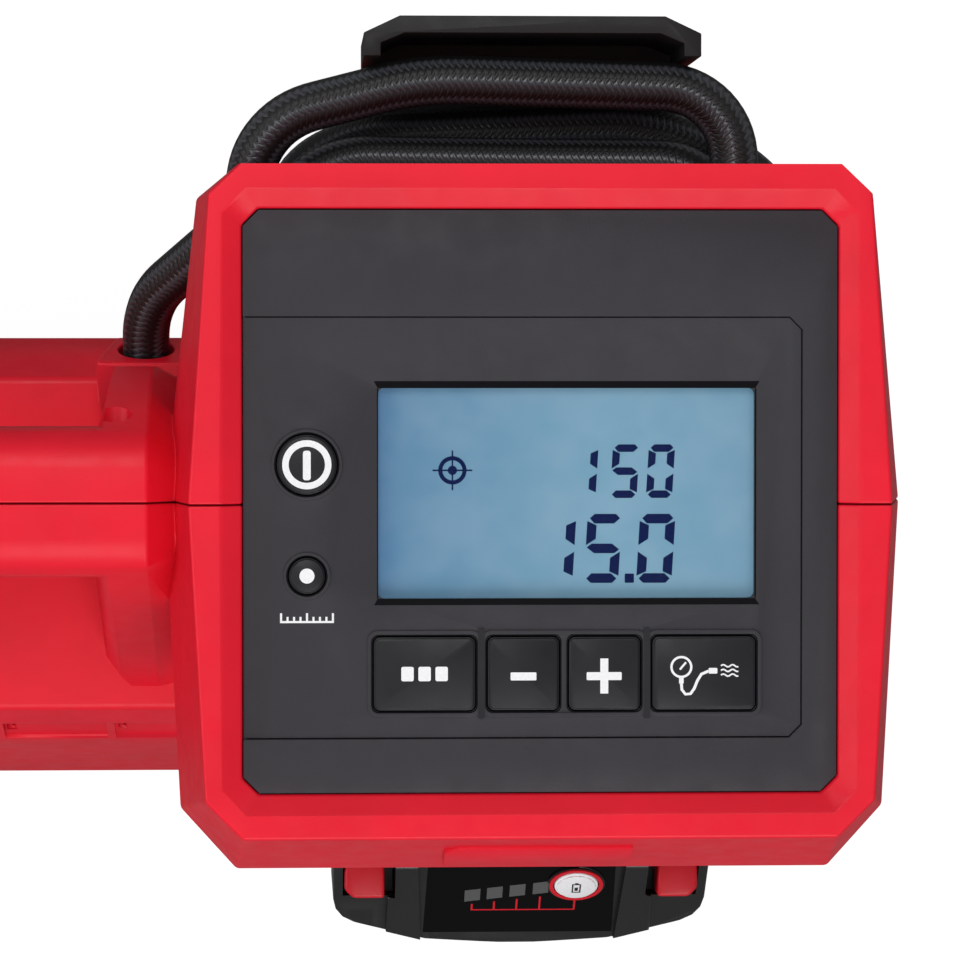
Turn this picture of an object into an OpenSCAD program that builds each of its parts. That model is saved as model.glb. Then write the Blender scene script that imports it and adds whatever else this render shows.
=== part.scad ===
// Portable tyre inflator with a slide-in battery pack, a wound air hose and a screw-on chuck.
//
// Working axes: X runs along the carrying handle, Y points to the rear, Z is up from the floor.
// X is measured from the middle of the display head and Y from the parting plane of the two
// housing halves. place() then moves everything so that the base is centred on the origin.

/* [Head] */
// Half width of the head's rim at the parting plane
head_half_w = 68; // [66:0.5:72]
// Rear edge of the head, from the parting plane
head_rear = 65.7; // [64:0.1:68]
// Front edge of the rim, from the parting plane
head_front = 64.6; // [63:0.1:68]
// Height of the rim
head_top = 171; // [168:0.5:180]
// Height of the head's underside
head_floor = 139; // [138.6:0.1:140]
// How much wider each side is at the underside than at the rim
side_flare = 5.6; // [3:0.1:7]
// How much further forward the underside's front edge lies
front_flare = 9.2; // [6:0.1:11]
// Depth of the rim's inner bevel, from the rim down to the panel
rim_depth = 2.5; // [1.5:0.1:3.5]
// Width of the rim's inner bevel
bevel_w = 4.2; // [3:0.1:5]
// Wall thickness of the moulded housing
wall = 3; // [2.4:0.1:3.4]

/* [Control panel] */
// Half width of the panel
panel_half_w = 57.5; // [56.5:0.1:58]
// Rear edge of the panel
panel_rear = 56.8; // [56:0.1:57.4]
// Front edge of the panel
panel_front = 55.8; // [55:0.1:56.4]
// Thickness of the panel
panel_t = 3; // [2.5:0.1:3.5]
// Depth of the step round the control area
panel_step = 0.6; // [0.3:0.1:0.9]
// Width of the display's window
lcd_w = 73.1; // [68:0.1:74]
// Height of the display's window, front to rear
lcd_h = 40.8; // [38:0.1:43]
// Radius of the power button
power_r = 5.8; // [5:0.1:6.4]
// Radius of the units button
units_r = 3.5; // [3:0.1:4]
// Length of each key, front to rear
key_h = 14.2; // [12:0.1:15]
// Travel of each button and key
press = 0.9; // [0.5:0.1:0.9]
// Gap round each button and key
key_gap = 0.25; // [0.2:0.05:0.4]

/* [Housing] */
// Height of the deck that the hose lies on
deck = 112.5; // [111:0.1:112.5]
// Height of the housing's underside
base_z = 8; // [7:0.5:9]
// Half width of the main housing below the head
main_half_w = 66; // [64:0.5:67]
// Rear and front faces of the main housing, from the parting plane
main_half_d = 60; // [58:0.5:61]
// Left end of the housing
left_end = 215; // [206:0.5:222]
// Height of the pump end's top
pump_top = 92; // [90:0.1:93]
// Rear face of the pump end
pump_rear = 32.5; // [31.5:0.1:34]
// Foot line of the pump end's front wall
pump_front = 67; // [64:0.1:70]

/* [Handle] */
// Height of the handle's top
handle_top = 160; // [157:0.5:164]
// Height of the handle's underside
handle_under = 130; // [128:0.5:134]
// Half width of the handle
handle_half_w = 14.7; // [13:0.1:16]
// Thickness of the leg at the handle's left end
leg_t = 23; // [20:0.5:26]

/* [Battery] */
// Width of the battery pack
pack_w = 79; // [76:0.5:83]
// Underside of the battery pack
pack_z = 44; // [43.5:0.1:46]
// Top of the battery pack
pack_top = 104; // [102:0.1:105]
// Front face of the battery pack, from the parting plane
pack_front = 98; // [96:0.5:102]
// Rear face of the battery pack
pack_rear = 16; // [12:0.1:17]
// Wall thickness of the battery pack
pack_wall = 2; // [1.6:0.1:2.4]
// Running gap between the battery pack and its bay
pack_gap = 1; // [0.6:0.1:1.4]
// Travel of the battery pack's release buttons
release_press = 2; // [1:0.1:2.4]

/* [Hose] */
// Outer diameter of the hose
hose_d = 9.8; // [9:0.1:9.9]
// Outer radius of the chuck's body
chuck_r = 6.3; // [5.8:0.1:6.4]
// Radius of the chuck's mouth, which fits a car's valve stem
valve_r = 3.9; // [3.7:0.05:4]
// Depth of the chuck's mouth
valve_depth = 9; // [7:0.5:11]
// Half width of the hose hook
hook_half_w = 33.7; // [30:0.1:34]
// Outer face of the hook's lip, from the parting plane
hook_reach = 96.4; // [95:0.1:100]
// Height of the hook's lip
hook_top = 141; // [136:0.5:144]
// Thickness of the hook
hook_t = 3.4; // [2.8:0.1:3.6]

/* [Pump] */
// Radius of the motor's can
motor_r = 24; // [22:0.5:25]
// Length of the motor's can
motor_l = 62; // [56:0.5:64]
// Teeth of the motor's pinion
pinion_teeth = 12; // [10:1:14]
// Teeth of the drive gear
gear_teeth = 42; // [40:1:44]
// Module of the gears
gear_module = 0.8; // [0.7:0.05:0.8]
// Throw of the crank pin
crank_throw = 4; // [3:0.1:4.4]
// Radius of the piston
piston_r = 9; // [8:0.1:9.5]
// Length of the connecting rod between its two ends
rod_l = 36; // [34:0.5:37]

/* [Hidden] */
$fn = 48;
eps = 0.01;

// Overall box, without the hose and what is on it
origin_x = (left_end - head_half_w - side_flare) / 2;
origin_y = (pack_front - hook_reach) / 2;

// Head and panel
panel_top = head_top - rim_depth;
panel_under = panel_top - panel_t;
ledge_w = 3;
fit_gap = 0.2;
cavity_top = panel_under - ledge_w;
cavity_floor = head_floor + wall;
area_left = -panel_half_w;
area_right = 50.8;
area_rear = 36.3;
area_front = -45.4;
area_cut = 2.5;
area_z = panel_top - panel_step;
lcd_x = 5.05;
lcd_y = 2.1;
power_at = [-45.2, 7.7];
units_at = [-45.2, -13.8];
key_y = -32.8;
memory_x = -22.5;
minus_x = -3.35;
plus_x = 12.4;
inflate_x = 31.7;
bar_x = [-11.5, 20.6];
lip_h = 0.4;
memory_w = 19.6;
small_key_w = 13.8;
inflate_w = 20;
key_at = [[memory_x, memory_w], [minus_x, small_key_w], [plus_x, small_key_w], [inflate_x, inflate_w]];
board_w = 105;
board_h = 92;
board_t = 1.6;
post_x = 49;
post_y = 42;
flange_t = 1.2;
flange_w = 1;
flange_gap = 0.6;
key_under = panel_under - flange_t - flange_gap;
switch_top = key_under - press - 0.1;
switch_h = 0.132 * (panel_under - cavity_floor);
switch_w = 4;
board_top = switch_top - switch_h;

// Neck, on which the hose is wound
neck_left = -43.5;
neck_right = 35.5;
neck_front = -20.4;
neck_rear = 62;
neck_front_r = 24;
neck_rear_r = 10;

// Handle and pump end
grip_left = -left_end + leg_t;
grip_right = -88;
ped_right = -61.5;
ped_rear = 26.5;
ped_front = 37.3;
ped_skirt = 41.5;
ped_edge = 2.6;
ped_mid = 4;
shoulder_x = -76.3;
shoulder_fall = 18;
handle_round = 8;
main_left = -64;
pump_front_top = -46;
slot_top = [-49.5, 81];
slot_foot = [-55, 66];
face_at = [-78.6, 30.5, 95];
face_tilt = 61;
outlet_r = 5.8;
vent_left = -205.2;
vent_count = 6;
vent_pitch = 23.8;
vent_l = vent_pitch - 1.8;
outlet_depth = 14;
gland_depth = 6;
air_tube_r = 2.2;

// Battery bay
bay_half_w = pack_w / 2 + pack_gap;
bay_floor = pack_z - pack_gap;
bay_top = pack_top + pack_gap;
bay_back = pack_rear + 4;
bay_wall = 2.5;

// Case screws: [x, z, depth of the head's seat below the parting plane's rear face]
screw_at = [
    [-204, handle_top - 14], [-83, handle_top - 12], [-203, 16], [-110, 16], [57, 16], [60.5, (head_floor + head_top) / 2 - 5]
];
screw_seat = [9, 9, 9, 9, 9, 9];
screw_head_r = 3.2;
screw_head_h = 2.6;
screw_r = 1.9;
screw_hole_r = 2.1;
screw_grip = 12;
boss_r = 5.5;

// Feet
foot_r = 8;
foot_peg_r = 3;
foot_peg = 2.4;
foot_at = [[-200, -48], [-200, 18], [52, -47], [52, 47]];

// Hose hook
hook_floor = deck - 4.5;
hook_screw_x = 22;
hook_screw_z = deck - 12;
hook_screw_r = 1.4;
bow_half_w = 26.5;
gusset_x = 12;

// Chuck, parked along the deck's right side with its mouth to the front
chuck_x = 58.5;
chuck_z = deck + chuck_r + 0.7;
ferrule_rear = 22;
ferrule_r = 5.9;
ferrule_l = 13;
body_l = 24;
collar_r = chuck_r + 0.4;
collar_l = 14;
body_rear = ferrule_rear - ferrule_l;
collar_rear = body_rear - body_l;
mouth_y = collar_rear - collar_l;
nose_r = chuck_r - 1.6;
clip_rear = body_rear - 6;

// Pump and its drive
motor_y = -12;
motor_z = 55;
motor_left = -205;
motor_right = motor_left + motor_l;
pinion_pitch = pinion_teeth * gear_module / 2;
gear_pitch = gear_teeth * gear_module / 2;
gear_z = motor_z - pinion_pitch - gear_pitch - 0.1;
frame_x = motor_right + 2.2;
frame_t = 4;
frame_half_w = 24;
arm_z = motor_z + 9;
arm_t = 7;
arm_half_w = 9;
gear_x = frame_x + frame_t + 1;
gear_t = 6;
rod_t = 6;
bore_r = piston_r + crank_throw + 0.6;
cylinder_r = bore_r + 2.5;
cylinder_x = gear_x + gear_t + cylinder_r + 3.5;
piston_h = 5;
piston_z = gear_z + crank_throw + rod_l;
cylinder_foot = gear_z + rod_l - crank_throw - 8;
cylinder_top = piston_z + piston_h / 2 + 1;
head_t = 3;

// Outlines -------------------------------------------------------------------------------------

// Points of a fillet at p between a and b; p is [x, y, radius]
function xy(p) = [p[0], p[1]];
function unit(v) = v / norm(v);
function fillet(a, p, b, steps) =
    len(p) < 3 || p[2] == 0 ? [xy(p)] :
    let (
        u = unit(xy(a) - xy(p)),
        v = unit(xy(b) - xy(p)),
        half = acos(u * v) / 2,
        start = xy(p) + u * p[2] / tan(half),
        centre = xy(p) + unit(u + v) * p[2] / sin(half),
        a0 = atan2(start[1] - centre[1], start[0] - centre[0]),
        turn = (180 - 2 * half) * sign(u[1] * v[0] - u[0] * v[1])
    )
    [for (i = [0:steps]) centre + p[2] * [cos(a0 + turn * i / steps), sin(a0 + turn * i / steps)]];

// Closed outline with rounded corners
function rounded(pts, steps = 4) =
    [for (i = [0:len(pts) - 1])
        each fillet(pts[(i + len(pts) - 1) % len(pts)], pts[i], pts[(i + 1) % len(pts)], steps)];

// Right half of an outline that is the same on both sides, rear point first
function mirrored(half) = concat(half, [for (i = [len(half) - 1:-1:0]) [-half[i][0], half[i][1]]]);

function box_outline(x0, y0, x1, y1, r) = rounded([[x0, y0, r], [x1, y0, r], [x1, y1, r], [x0, y1, r]]);

// Head's outline: low is 0 at the rim and 1 at the underside, inset moves it in
function head_outline(low, inset = 0) = mirrored([
    [58 - inset * 0.6, head_rear - inset],
    [64 + low * 3 - inset, head_rear - 5.7 - inset * 0.6],
    [head_half_w + low * side_flare - inset, 0],
    [64.8 + low * side_flare - inset, 7.3 - head_front - low * 4.2 + inset * 0.6],
    [57.5 + low * 1.8 - inset * 0.6, inset - head_front - low * front_flare]
]);

function panel_outline(grow) = mirrored([
    [panel_half_w - 3.1 + grow * 0.6, panel_rear + grow],
    [panel_half_w + grow, panel_rear - 3.1 + grow * 0.6],
    [panel_half_w + grow, 3.1 - panel_front - grow * 0.6],
    [panel_half_w - 3.1 + grow * 0.6, -panel_front - grow]
]);

// Helpers --------------------------------------------------------------------------------------

module place() translate([origin_x, origin_y, 0]) children();

// Prism of an outline between two heights
module upright(outline, z0, z1) translate([0, 0, z0]) linear_extrude(z1 - z0) polygon(outline);

// Prism along X of an outline given as [y, z] points
module along_x(outline, x0, x1)
    translate([x0, 0, 0]) rotate([90, 0, 90]) linear_extrude(x1 - x0) polygon(outline);

// Prism along Y of an outline given as [x, z] points
module along_y(outline, y0, y1)
    translate([0, y1, 0]) rotate([90, 0, 0]) linear_extrude(y1 - y0) polygon(outline);

// Cylinder along Y from y0 to y1, at [x, z]
module rod_y(at, r, y0, y1) translate([at[0], y1, at[1]]) rotate([90, 0, 0]) cylinder(r = r, h = y1 - y0);

// Cylinder along X from x0 to x1, at [y, z]
module rod_x(at, r, x0, x1) translate([x0, at[0], at[1]]) rotate([0, 90, 0]) cylinder(r = r, h = x1 - x0);

module box(lo, hi) translate(lo) cube(hi - lo);

// Housing --------------------------------------------------------------------------------------

module head_block() {
    hull() {
        upright(head_outline(1), head_floor, head_floor + 1);
        upright(head_outline(0), head_top - 1, head_top);
    }
}

module head_hollow() {
    upright(head_outline(0, wall), cavity_floor, cavity_top);
    upright(panel_outline(-ledge_w), cavity_top - eps, head_top + 1);
    upright(panel_outline(fit_gap), panel_under, head_top + 1);
    hull() {
        upright(panel_outline(fit_gap), panel_top - eps, panel_top);
        upright(panel_outline(bevel_w), head_top, head_top + eps);
    }
}

module main_block() {
    intersection() {
        upright(rounded([
            [main_left, -main_half_d, 9], [main_half_w, -main_half_d, 9],
            [main_half_w, main_half_d, 9], [main_left, main_half_d, 24]
        ]), base_z, deck);
        along_y(rounded([
            [main_left, base_z], [main_half_w, base_z, 4], [main_half_w, deck, 3], [main_left, deck]
        ]), -main_half_d - 1, main_half_d + 1);
    }
}

function pump_section(inset) = rounded([
    [pump_rear - inset, base_z + inset, 3],
    [pump_rear - inset, pump_top - 17 - inset * 0.4],
    [24 - inset * 0.6, pump_top - inset, 2],
    [-20, pump_top - inset],
    [pump_front_top + inset * 0.8, pump_top - 3 - inset, 2],
    [slot_top[0] + inset, slot_top[1] - inset * 0.6],
    [slot_foot[0] + inset, slot_foot[1] - inset * 0.3],
    [inset - pump_front, base_z + 3 + inset, 3],
    [inset - pump_front + 2, base_z + inset]
], 3);

module pump_block() {
    intersection() {
        along_x(pump_section(0), -left_end, main_left + 6);
        along_y(rounded([
            [-left_end, base_z, 5], [main_left + 7, base_z],
            [main_left + 7, pump_top + 1], [-left_end, pump_top + 1, 9]
        ]), -pump_front - 1, pump_rear + 1);
    }
}

// Raised seat that the hose comes out of
module outlet_boss() {
    intersection() {
        along_x([[14, 86], [14, 103], [27.2, 103], [32.5, 88.5], [32.5, 74], [22, 74]],
            grip_right - 1, main_left + 4);
        upright([
            [grip_right + 2, 13], [grip_right - 0.6, 20], [grip_right - 0.6, 28], [grip_right + 3.4, 33],
            [main_left + 4, 33], [main_left + 4, 13]
        ], 70, 110);
    }
}

// Points of the handle's crown, from its top outwards and down to where the pedestal leaves it
crown = [for (a = [0, 22.5, 45, 67.5])
    [handle_half_w - handle_round + handle_round * sin(a), handle_top - handle_round * (1 - cos(a))]];

// Pedestal between the handle and the head, seen from the side; taper pulls it in towards the head
function pedestal_section(taper) = concat(
    [[ped_rear - 0.4 * taper, pump_top - 5], [ped_rear - 0.4 * taper, handle_top - 34 - 0.8 * taper]],
    [for (i = [3:-1:0]) crown[i] - taper * [0.3, 1]],
    [for (i = [0:3]) [taper * 0.3 - crown[i][0], crown[i][1] - taper]],
    [[0.4 * taper - ped_front, pump_top + 5], [0.2 * taper - ped_skirt, pump_top - 3],
    [0.2 * taper - ped_skirt, pump_top - 5]]
);

// Front half of that outline, cut back by inset
function pedestal_front(inset) = [
    [ped_mid, pump_top - 5], [ped_mid, handle_top - inset],
    for (i = [0:3]) [inset - crown[i][0], crown[i][1] - inset],
    [inset - ped_skirt, pump_top - 5]
];

// Pedestal from above at its foot (lean 0) and at the handle's top (lean 1), its rear left corner leaning in
function pedestal_plan(lean) = [
    [grip_right + 0.8, ped_mid - 2], [grip_right + 1.1, -34.2], [grip_right + 4.3, -39.2],
    [grip_right + 7.4, -ped_skirt - 1],
    [ped_right + 1, -ped_skirt - 1], [ped_right + 1, ped_rear + 1],
    [grip_right + 3 + lean * 2.6, ped_rear + 1], [grip_right - 0.9 + lean * 4, 14]
];

module pedestal() {
    intersection() {
        union() {
            along_x(pedestal_section(0), grip_right + 1 + ped_edge, shoulder_x);
            intersection() {
                along_x(pedestal_section(0), grip_right - 2, shoulder_x);
                box([grip_right - 2, ped_mid, pump_top - 6], [shoulder_x, ped_rear + 1, handle_top + 1]);
            }
            // Bevel beside the hand opening
            hull() {
                along_x(pedestal_front(ped_edge), grip_right + 1, grip_right + 1 + eps);
                along_x(pedestal_front(0), grip_right + 1 + ped_edge, grip_right + 1.5 + ped_edge);
            }
            hull() {
                along_x(pedestal_section(0), shoulder_x - eps, shoulder_x);
                along_x(pedestal_section(shoulder_fall), ped_right - eps, ped_right);
            }
        }
        hull() {
            upright(pedestal_plan(0), pump_top - 5, pump_top - 5 + eps);
            upright(pedestal_plan(1), handle_top, handle_top + eps);
        }
    }
}

// Handle's outline from the front between two ends, with its outer corner rounded
function handle_front(right, drop) = rounded([
    [-left_end, pump_top - 6], [-left_end, handle_top, 14], [right, handle_top - drop], [right, pump_top - 6]
]);

module handle_block() {
    // Bar
    intersection() {
        along_x(box_outline(-handle_half_w, handle_under, handle_half_w, handle_top, handle_round),
            -left_end, shoulder_x);
        along_y(handle_front(shoulder_x, 0), -handle_half_w - 1, handle_half_w + 1);
    }
    // Leg at the left end
    intersection() {
        along_x(rounded([
            [22, pump_top - 6], [22, 118, 6], [handle_half_w, 138, 6], [handle_half_w, handle_top - 4, 4],
            [-handle_half_w, handle_top - 4, 4], [-handle_half_w, 138, 6],
            [-28, pump_top + 4, 6], [-28, pump_top - 6]
        ]), -left_end, grip_left);
        along_y(handle_front(grip_left, 2), -45, 45);
    }
    pedestal();
}

module neck_block(inset, z0, z1) {
    upright(rounded([
        [neck_left + inset, neck_front + inset, neck_front_r - inset],
        [neck_right - inset, neck_front + inset, neck_front_r - inset],
        [neck_right - inset, neck_rear - inset, neck_rear_r - inset],
        [neck_left + inset, neck_rear - inset, neck_rear_r - inset]
    ], 6), z0, z1);
}

module housing_outer() {
    head_block();
    neck_block(0, deck - 1, head_floor + 1);
    main_block();
    pump_block();
    outlet_boss();
    handle_block();
}

module housing_inner() {
    head_hollow();
    neck_block(wall, deck - wall - 1, cavity_floor + 1);
    // Room round the battery bay
    difference() {
        upright(rounded([
            [main_left + wall, wall - main_half_d, 6], [main_half_w - wall, wall - main_half_d, 6],
            [main_half_w - wall, main_half_d - wall, 6], [main_left + wall, main_half_d - wall, 21]
        ]), base_z + wall, deck - wall);
        box([-bay_half_w - bay_wall, -main_half_d - 1, bay_floor - bay_wall],
            [bay_half_w + bay_wall, bay_back + bay_wall, deck + 1]);
    }
    // Room for the motor and the pump
    intersection() {
        along_x(pump_section(wall), wall - left_end, main_left + wall + 2);
        box([wall - left_end, -pump_front, base_z], [main_left + wall + 2, pump_rear - wall, pump_top]);
    }
}

module battery_bay() {
    box([-bay_half_w, -main_half_d - 20, bay_floor], [bay_half_w, bay_back, bay_top]);
}

// Cooling slots along a groove in the front of the pump end, with ribs between them
module vents() {
    for (i = [0:vent_count - 1])
        translate([vent_left + i * vent_pitch, 0, 0]) {
            along_x([[-60, 68.5], [-60, 82], [slot_top[0] + 1.4, 79.5], [slot_foot[0] + 1.8, 68.5]], 0, vent_l);
            box([1, -60, 76.6], [vent_l - 1, -44, 78.4]);
            box([0.6, -60, 72], [2.2, -44, 77]);
        }
}

module outlet_hole() {
    translate(face_at) rotate([-face_tilt, 0, 0]) translate([0, 0, -outlet_depth]) {
        cylinder(r = outlet_r, h = outlet_depth + 12);
        translate([0, 0, -12]) cylinder(r = air_tube_r + 0.8, h = 13);
    }
}

module screw_boss(i, y0, y1) rod_y(screw_at[i], boss_r, y0, y1);

module screw_room(i) {
    rod_y(screw_at[i], screw_hole_r, -eps, screw_seat[i] + eps);
    rod_y(screw_at[i], screw_head_r + 0.25, screw_seat[i], head_rear + 5);
}

module foot_socket(i) {
    translate([foot_at[i][0], foot_at[i][1], base_z - eps])
        cylinder(r = foot_peg_r + 0.05, h = foot_peg + 0.2);
}

// Ribs that the motor's can lies in
module motor_ribs() {
    for (x = [motor_left + 10, motor_right - 14])
        difference() {
            box([x, motor_y - 20, base_z + 1], [x + 4, motor_y + 20, motor_z - 6]);
            rod_x([motor_y, motor_z], motor_r + 0.15, x - 1, x + 5);
        }
}

module board_posts(y) {
    for (x = [-post_x, post_x])
        translate([x, y, cavity_floor - 1]) cylinder(r = 3.4, h = board_top - board_t - cavity_floor + 1);
}

module front_shell() {
    color("crimson") place() difference() {
        union() {
            intersection() {
                difference() {
                    housing_outer();
                    housing_inner();
                }
                box([-left_end - 1, -120, 0], [120, 0, 200]);
            }
            for (i = [2:5]) screw_boss(i, -screw_grip - 3, 0);
            board_posts(-post_y);
            intersection() {
                motor_ribs();
                box([-left_end, -100, 0], [0, 0, 100]);
            }
        }
        battery_bay();
        vents();
        for (i = [0:5]) rod_y(screw_at[i], screw_r + 0.05, -screw_grip, eps);
        foot_socket(0);
        foot_socket(2);
    }
}

module rear_shell() {
    color("crimson") place() difference() {
        union() {
            intersection() {
                difference() {
                    housing_outer();
                    housing_inner();
                }
                box([-left_end - 1, 0, 0], [120, 120, 200]);
            }
            for (i = [2:3]) screw_boss(i, 0, pump_rear - 2);
            screw_boss(4, 0, main_half_d - 2);
            intersection() {
                screw_boss(5, 0, head_rear - 2);
                head_block();
            }
            board_posts(post_y);
            intersection() {
                motor_ribs();
                box([-left_end, 0, 0], [0, 100, 100]);
            }
        }
        battery_bay();
        outlet_hole();
        for (i = [0:5]) screw_room(i);
        foot_socket(1);
        foot_socket(3);
        for (s = [-1, 1])
            rod_y([s * hook_screw_x, hook_screw_z], hook_screw_r + 0.05,
                main_half_d - wall - 1, main_half_d + 1);
    }
}

// Control panel --------------------------------------------------------------------------------

function centred(x, y, w, h, r) = box_outline(x - w / 2, y - h / 2, x + w / 2, y + h / 2, r);

// Raised lip round an opening
module key_lip(x, w) {
    difference() {
        upright(centred(x, key_y, w + 2.6, key_h + 2.6, 2), area_z - eps, area_z + lip_h);
        upright(centred(x, key_y, w + 1, key_h + 1, 1.4), area_z - 1, area_z + 1);
    }
}

module round_lip(at, r) {
    translate([at[0], at[1], area_z - eps]) difference() {
        cylinder(r = r + 1.1, h = lip_h);
        translate([0, 0, -1]) cylinder(r = r + 0.5, h = 3);
    }
}

module control_panel() {
    color("dimgray") place() difference() {
        union() {
            difference() {
                upright(panel_outline(0), panel_under, panel_top);
                upright([
                    [area_left - 1, area_front], [area_right - area_cut, area_front],
                    [area_right, area_front + area_cut], [area_right, area_rear - area_cut],
                    [area_right - area_cut, area_rear], [area_left - 1, area_rear]
                ], area_z, panel_top + 1);
            }
            key_lip(memory_x, memory_w);
            key_lip((minus_x + plus_x) / 2, plus_x - minus_x + small_key_w);
            key_lip(inflate_x, inflate_w);
            for (x = bar_x)
                upright(centred(x, key_y, 1.2, key_h + 3, 0), area_z - eps, area_z + lip_h);
            round_lip(power_at, power_r);
            round_lip(units_at, units_r);
        }
        upright(centred(lcd_x, lcd_y, lcd_w, lcd_h, 1.2), panel_under - 1, panel_top + 1);
        for (button = [[power_at, power_r], [units_at, units_r]])
            translate(concat(button[0], [panel_under - 1])) cylinder(r = button[1] + key_gap, h = panel_t + 2);
        for (at = key_at)
            upright(centred(at[0], key_y, at[1] + 2 * key_gap, key_h + 2 * key_gap, 1.4),
                panel_under - 1, panel_top + 1);
    }
}

module lcd_window() {
    color("lightsteelblue", 0.6) place()
        upright(centred(lcd_x, lcd_y, lcd_w - 0.3, lcd_h - 0.3, 1), panel_under + 0.3, area_z - 0.3);
}

module lcd_module() {
    color("slategray") place()
        upright(centred(lcd_x, lcd_y, lcd_w + 4, lcd_h + 4, 1), board_top, panel_under - 0.1);
}

module control_board() {
    color("darkgreen") place() difference() {
        union() {
            upright(centred(0, 0, board_w, board_h, 3), board_top - board_t, board_top);
            for (at = concat([power_at, units_at], [for (at = key_at) [at[0], key_y]]))
                upright(centred(at[0], at[1], switch_w, switch_w, 0), board_top - eps, switch_top);
        }
        for (x = [-post_x, post_x], y = [-post_y, post_y])
            translate([x, y, board_top - 3]) cylinder(r = 1.3, h = 6);
    }
}

module round_button(at, r, top) {
    translate([at[0], at[1], key_under]) {
        cylinder(r = r + flange_w, h = flange_t);
        cylinder(r = r, h = top - key_under - 0.3);
        cylinder(r = r - 0.3, h = top - key_under);
    }
}

module key(x, w, top) {
    upright(centred(x, key_y, w + 0.8, key_h + 2 * flange_w, 1.4), key_under, key_under + flange_t);
    upright(centred(x, key_y, w, key_h, 1.2), key_under, top - 0.3);
    upright(centred(x, key_y, w - 0.6, key_h - 0.6, 1), key_under, top);
}

module power_button() color("dimgray") place() round_button(power_at, power_r, area_z + 0.3);

module units_button() color("dimgray") place() round_button(units_at, units_r, area_z + 0.3);

module memory_key() color("dimgray") place() key(memory_x, memory_w, area_z + 0.5);

module minus_key() color("dimgray") place() key(minus_x, small_key_w, area_z + 0.5);

module plus_key() color("dimgray") place() key(plus_x, small_key_w, area_z + 0.5);

module inflate_key() color("dimgray") place() key(inflate_x, inflate_w, area_z + 0.5);

// Hose hook ------------------------------------------------------------------------------------

// Lip in plan: a shallow bow with its ends turned in towards the housing
function lip_outline() = mirrored([
    [bow_half_w, hook_reach], [hook_half_w, hook_reach - 3.4], [hook_half_w, hook_reach - 8],
    [hook_half_w - hook_t, hook_reach - 8], [hook_half_w - hook_t, hook_reach - 5.4],
    [bow_half_w - 1, hook_reach - hook_t]
]);

module hose_hook() {
    color([0.16, 0.15, 0.15]) place() difference() {
        union() {
            // Lip and the floor under the hose
            upright(lip_outline(), hook_floor - hook_t, hook_top);
            upright(mirrored([
                [bow_half_w, hook_reach - 0.6], [hook_half_w, hook_reach - 4], [hook_half_w, main_half_d + 0.1]
            ]), hook_floor - hook_t, hook_floor);
            // Flange against the housing, and two gussets below the floor
            along_y(rounded([
                [-hook_half_w, hook_floor], [hook_half_w, hook_floor],
                [hook_half_w, hook_screw_z - 6, 4], [-hook_half_w, hook_screw_z - 6, 4]
            ]), main_half_d + 0.1, main_half_d + 0.1 + hook_t);
            for (s = [-1, 1])
                along_x([
                    [main_half_d + 1, hook_floor - 1], [hook_reach - 8, hook_floor - 1],
                    [main_half_d + 1, hook_screw_z - 4]
                ], s * gusset_x - 1.5, s * gusset_x + 1.5);
        }
        for (s = [-1, 1])
            rod_y([s * hook_screw_x, hook_screw_z], hook_screw_r + 0.3, main_half_d - 1, main_half_d + 6);
    }
}

module hook_screw(s) {
    color("silver") place() {
        rod_y([s * hook_screw_x, hook_screw_z], hook_screw_r, main_half_d - 2.5, main_half_d + hook_t + 0.2);
        rod_y([s * hook_screw_x, hook_screw_z], 2 * hook_screw_r,
            main_half_d + hook_t + 0.1, main_half_d + hook_t + 2);
    }
}

// Hose -----------------------------------------------------------------------------------------

out_dir = [0, sin(face_tilt), cos(face_tilt)];
hose_start = face_at - gland_depth * out_dir;

// Each turn: how far its right side reaches to the rear, its heights at the right, the front and the
// left, and its bend at the rear
turns = [
    [82.4, 133.5, 133.5, 133.5, 14.5],
    [67.8, 123.4, 120.5, 118.2, 15]
];
wind_left = neck_left - hose_d / 2 - 1.1;
wind_right = neck_right + hose_d / 2 + 0.6;
wind_front = neck_front - hose_d / 2 - 0.7;
front_bend = neck_front_r + hose_d / 2 + 1.1;

// Corners of one turn round the neck: [x, y, z, bend radius]
function turn_corners(t) = [
    [wind_right, t[0], t[1], t[4]],
    [wind_right, wind_front, t[2], front_bend],
    [wind_left, wind_front, t[3], front_bend]
];

// Lead from the outlet up to the first turn, chosen by hand
lead = [
    concat(face_at + 10.9 * out_dir, [22]), [-57.6, 57, 124.2, 24], [-54.6, 76, 132, 17],
    [-22, 84.3, 133.5, 60]
];
// From the first turn's end to the second turn's rear
drop_in = [[-49.5, 61, 131, 14], [-38.5, 68.4, 125.8, 20], [4, 68, 123.6, 60]];
// From the second turn's end along the bottom of the hook to the chuck
tail = [
    [-49.5, 66, 117.4, 16], [-34, 73.4, 113.8, 25], [25, 76, 113.2, 40], [49, 66.2, 117.3, 26],
    [58.5, 43, 119.5, 24]
];
hose_end = [chuck_x, ferrule_rear, chuck_z];

corners = concat(
    [hose_start], lead, turn_corners(turns[0]), drop_in, turn_corners(turns[1]), tail, [hose_end]
);

// Bend in space at p between a and b
function bend(a, p, b) =
    let (
        q = [p[0], p[1], p[2]],
        u = unit([a[0], a[1], a[2]] - q),
        v = unit([b[0], b[1], b[2]] - q),
        half = acos(u * v) / 2,
        centre = q + unit(u + v) * p[3] / sin(half),
        out = unit(q + u * p[3] / tan(half) - centre),
        sweep = 180 - 2 * half,
        steps = max(2, ceil(sweep / 16))
    )
    [for (i = [0:steps]) centre + p[3] * (cos(sweep * i / steps) * out - sin(sweep * i / steps) * u)];

bends = concat(
    [corners[0]],
    [for (i = [1:len(corners) - 2]) each bend(corners[i - 1], corners[i], corners[i + 1])],
    [corners[len(corners) - 1]]
);

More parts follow.
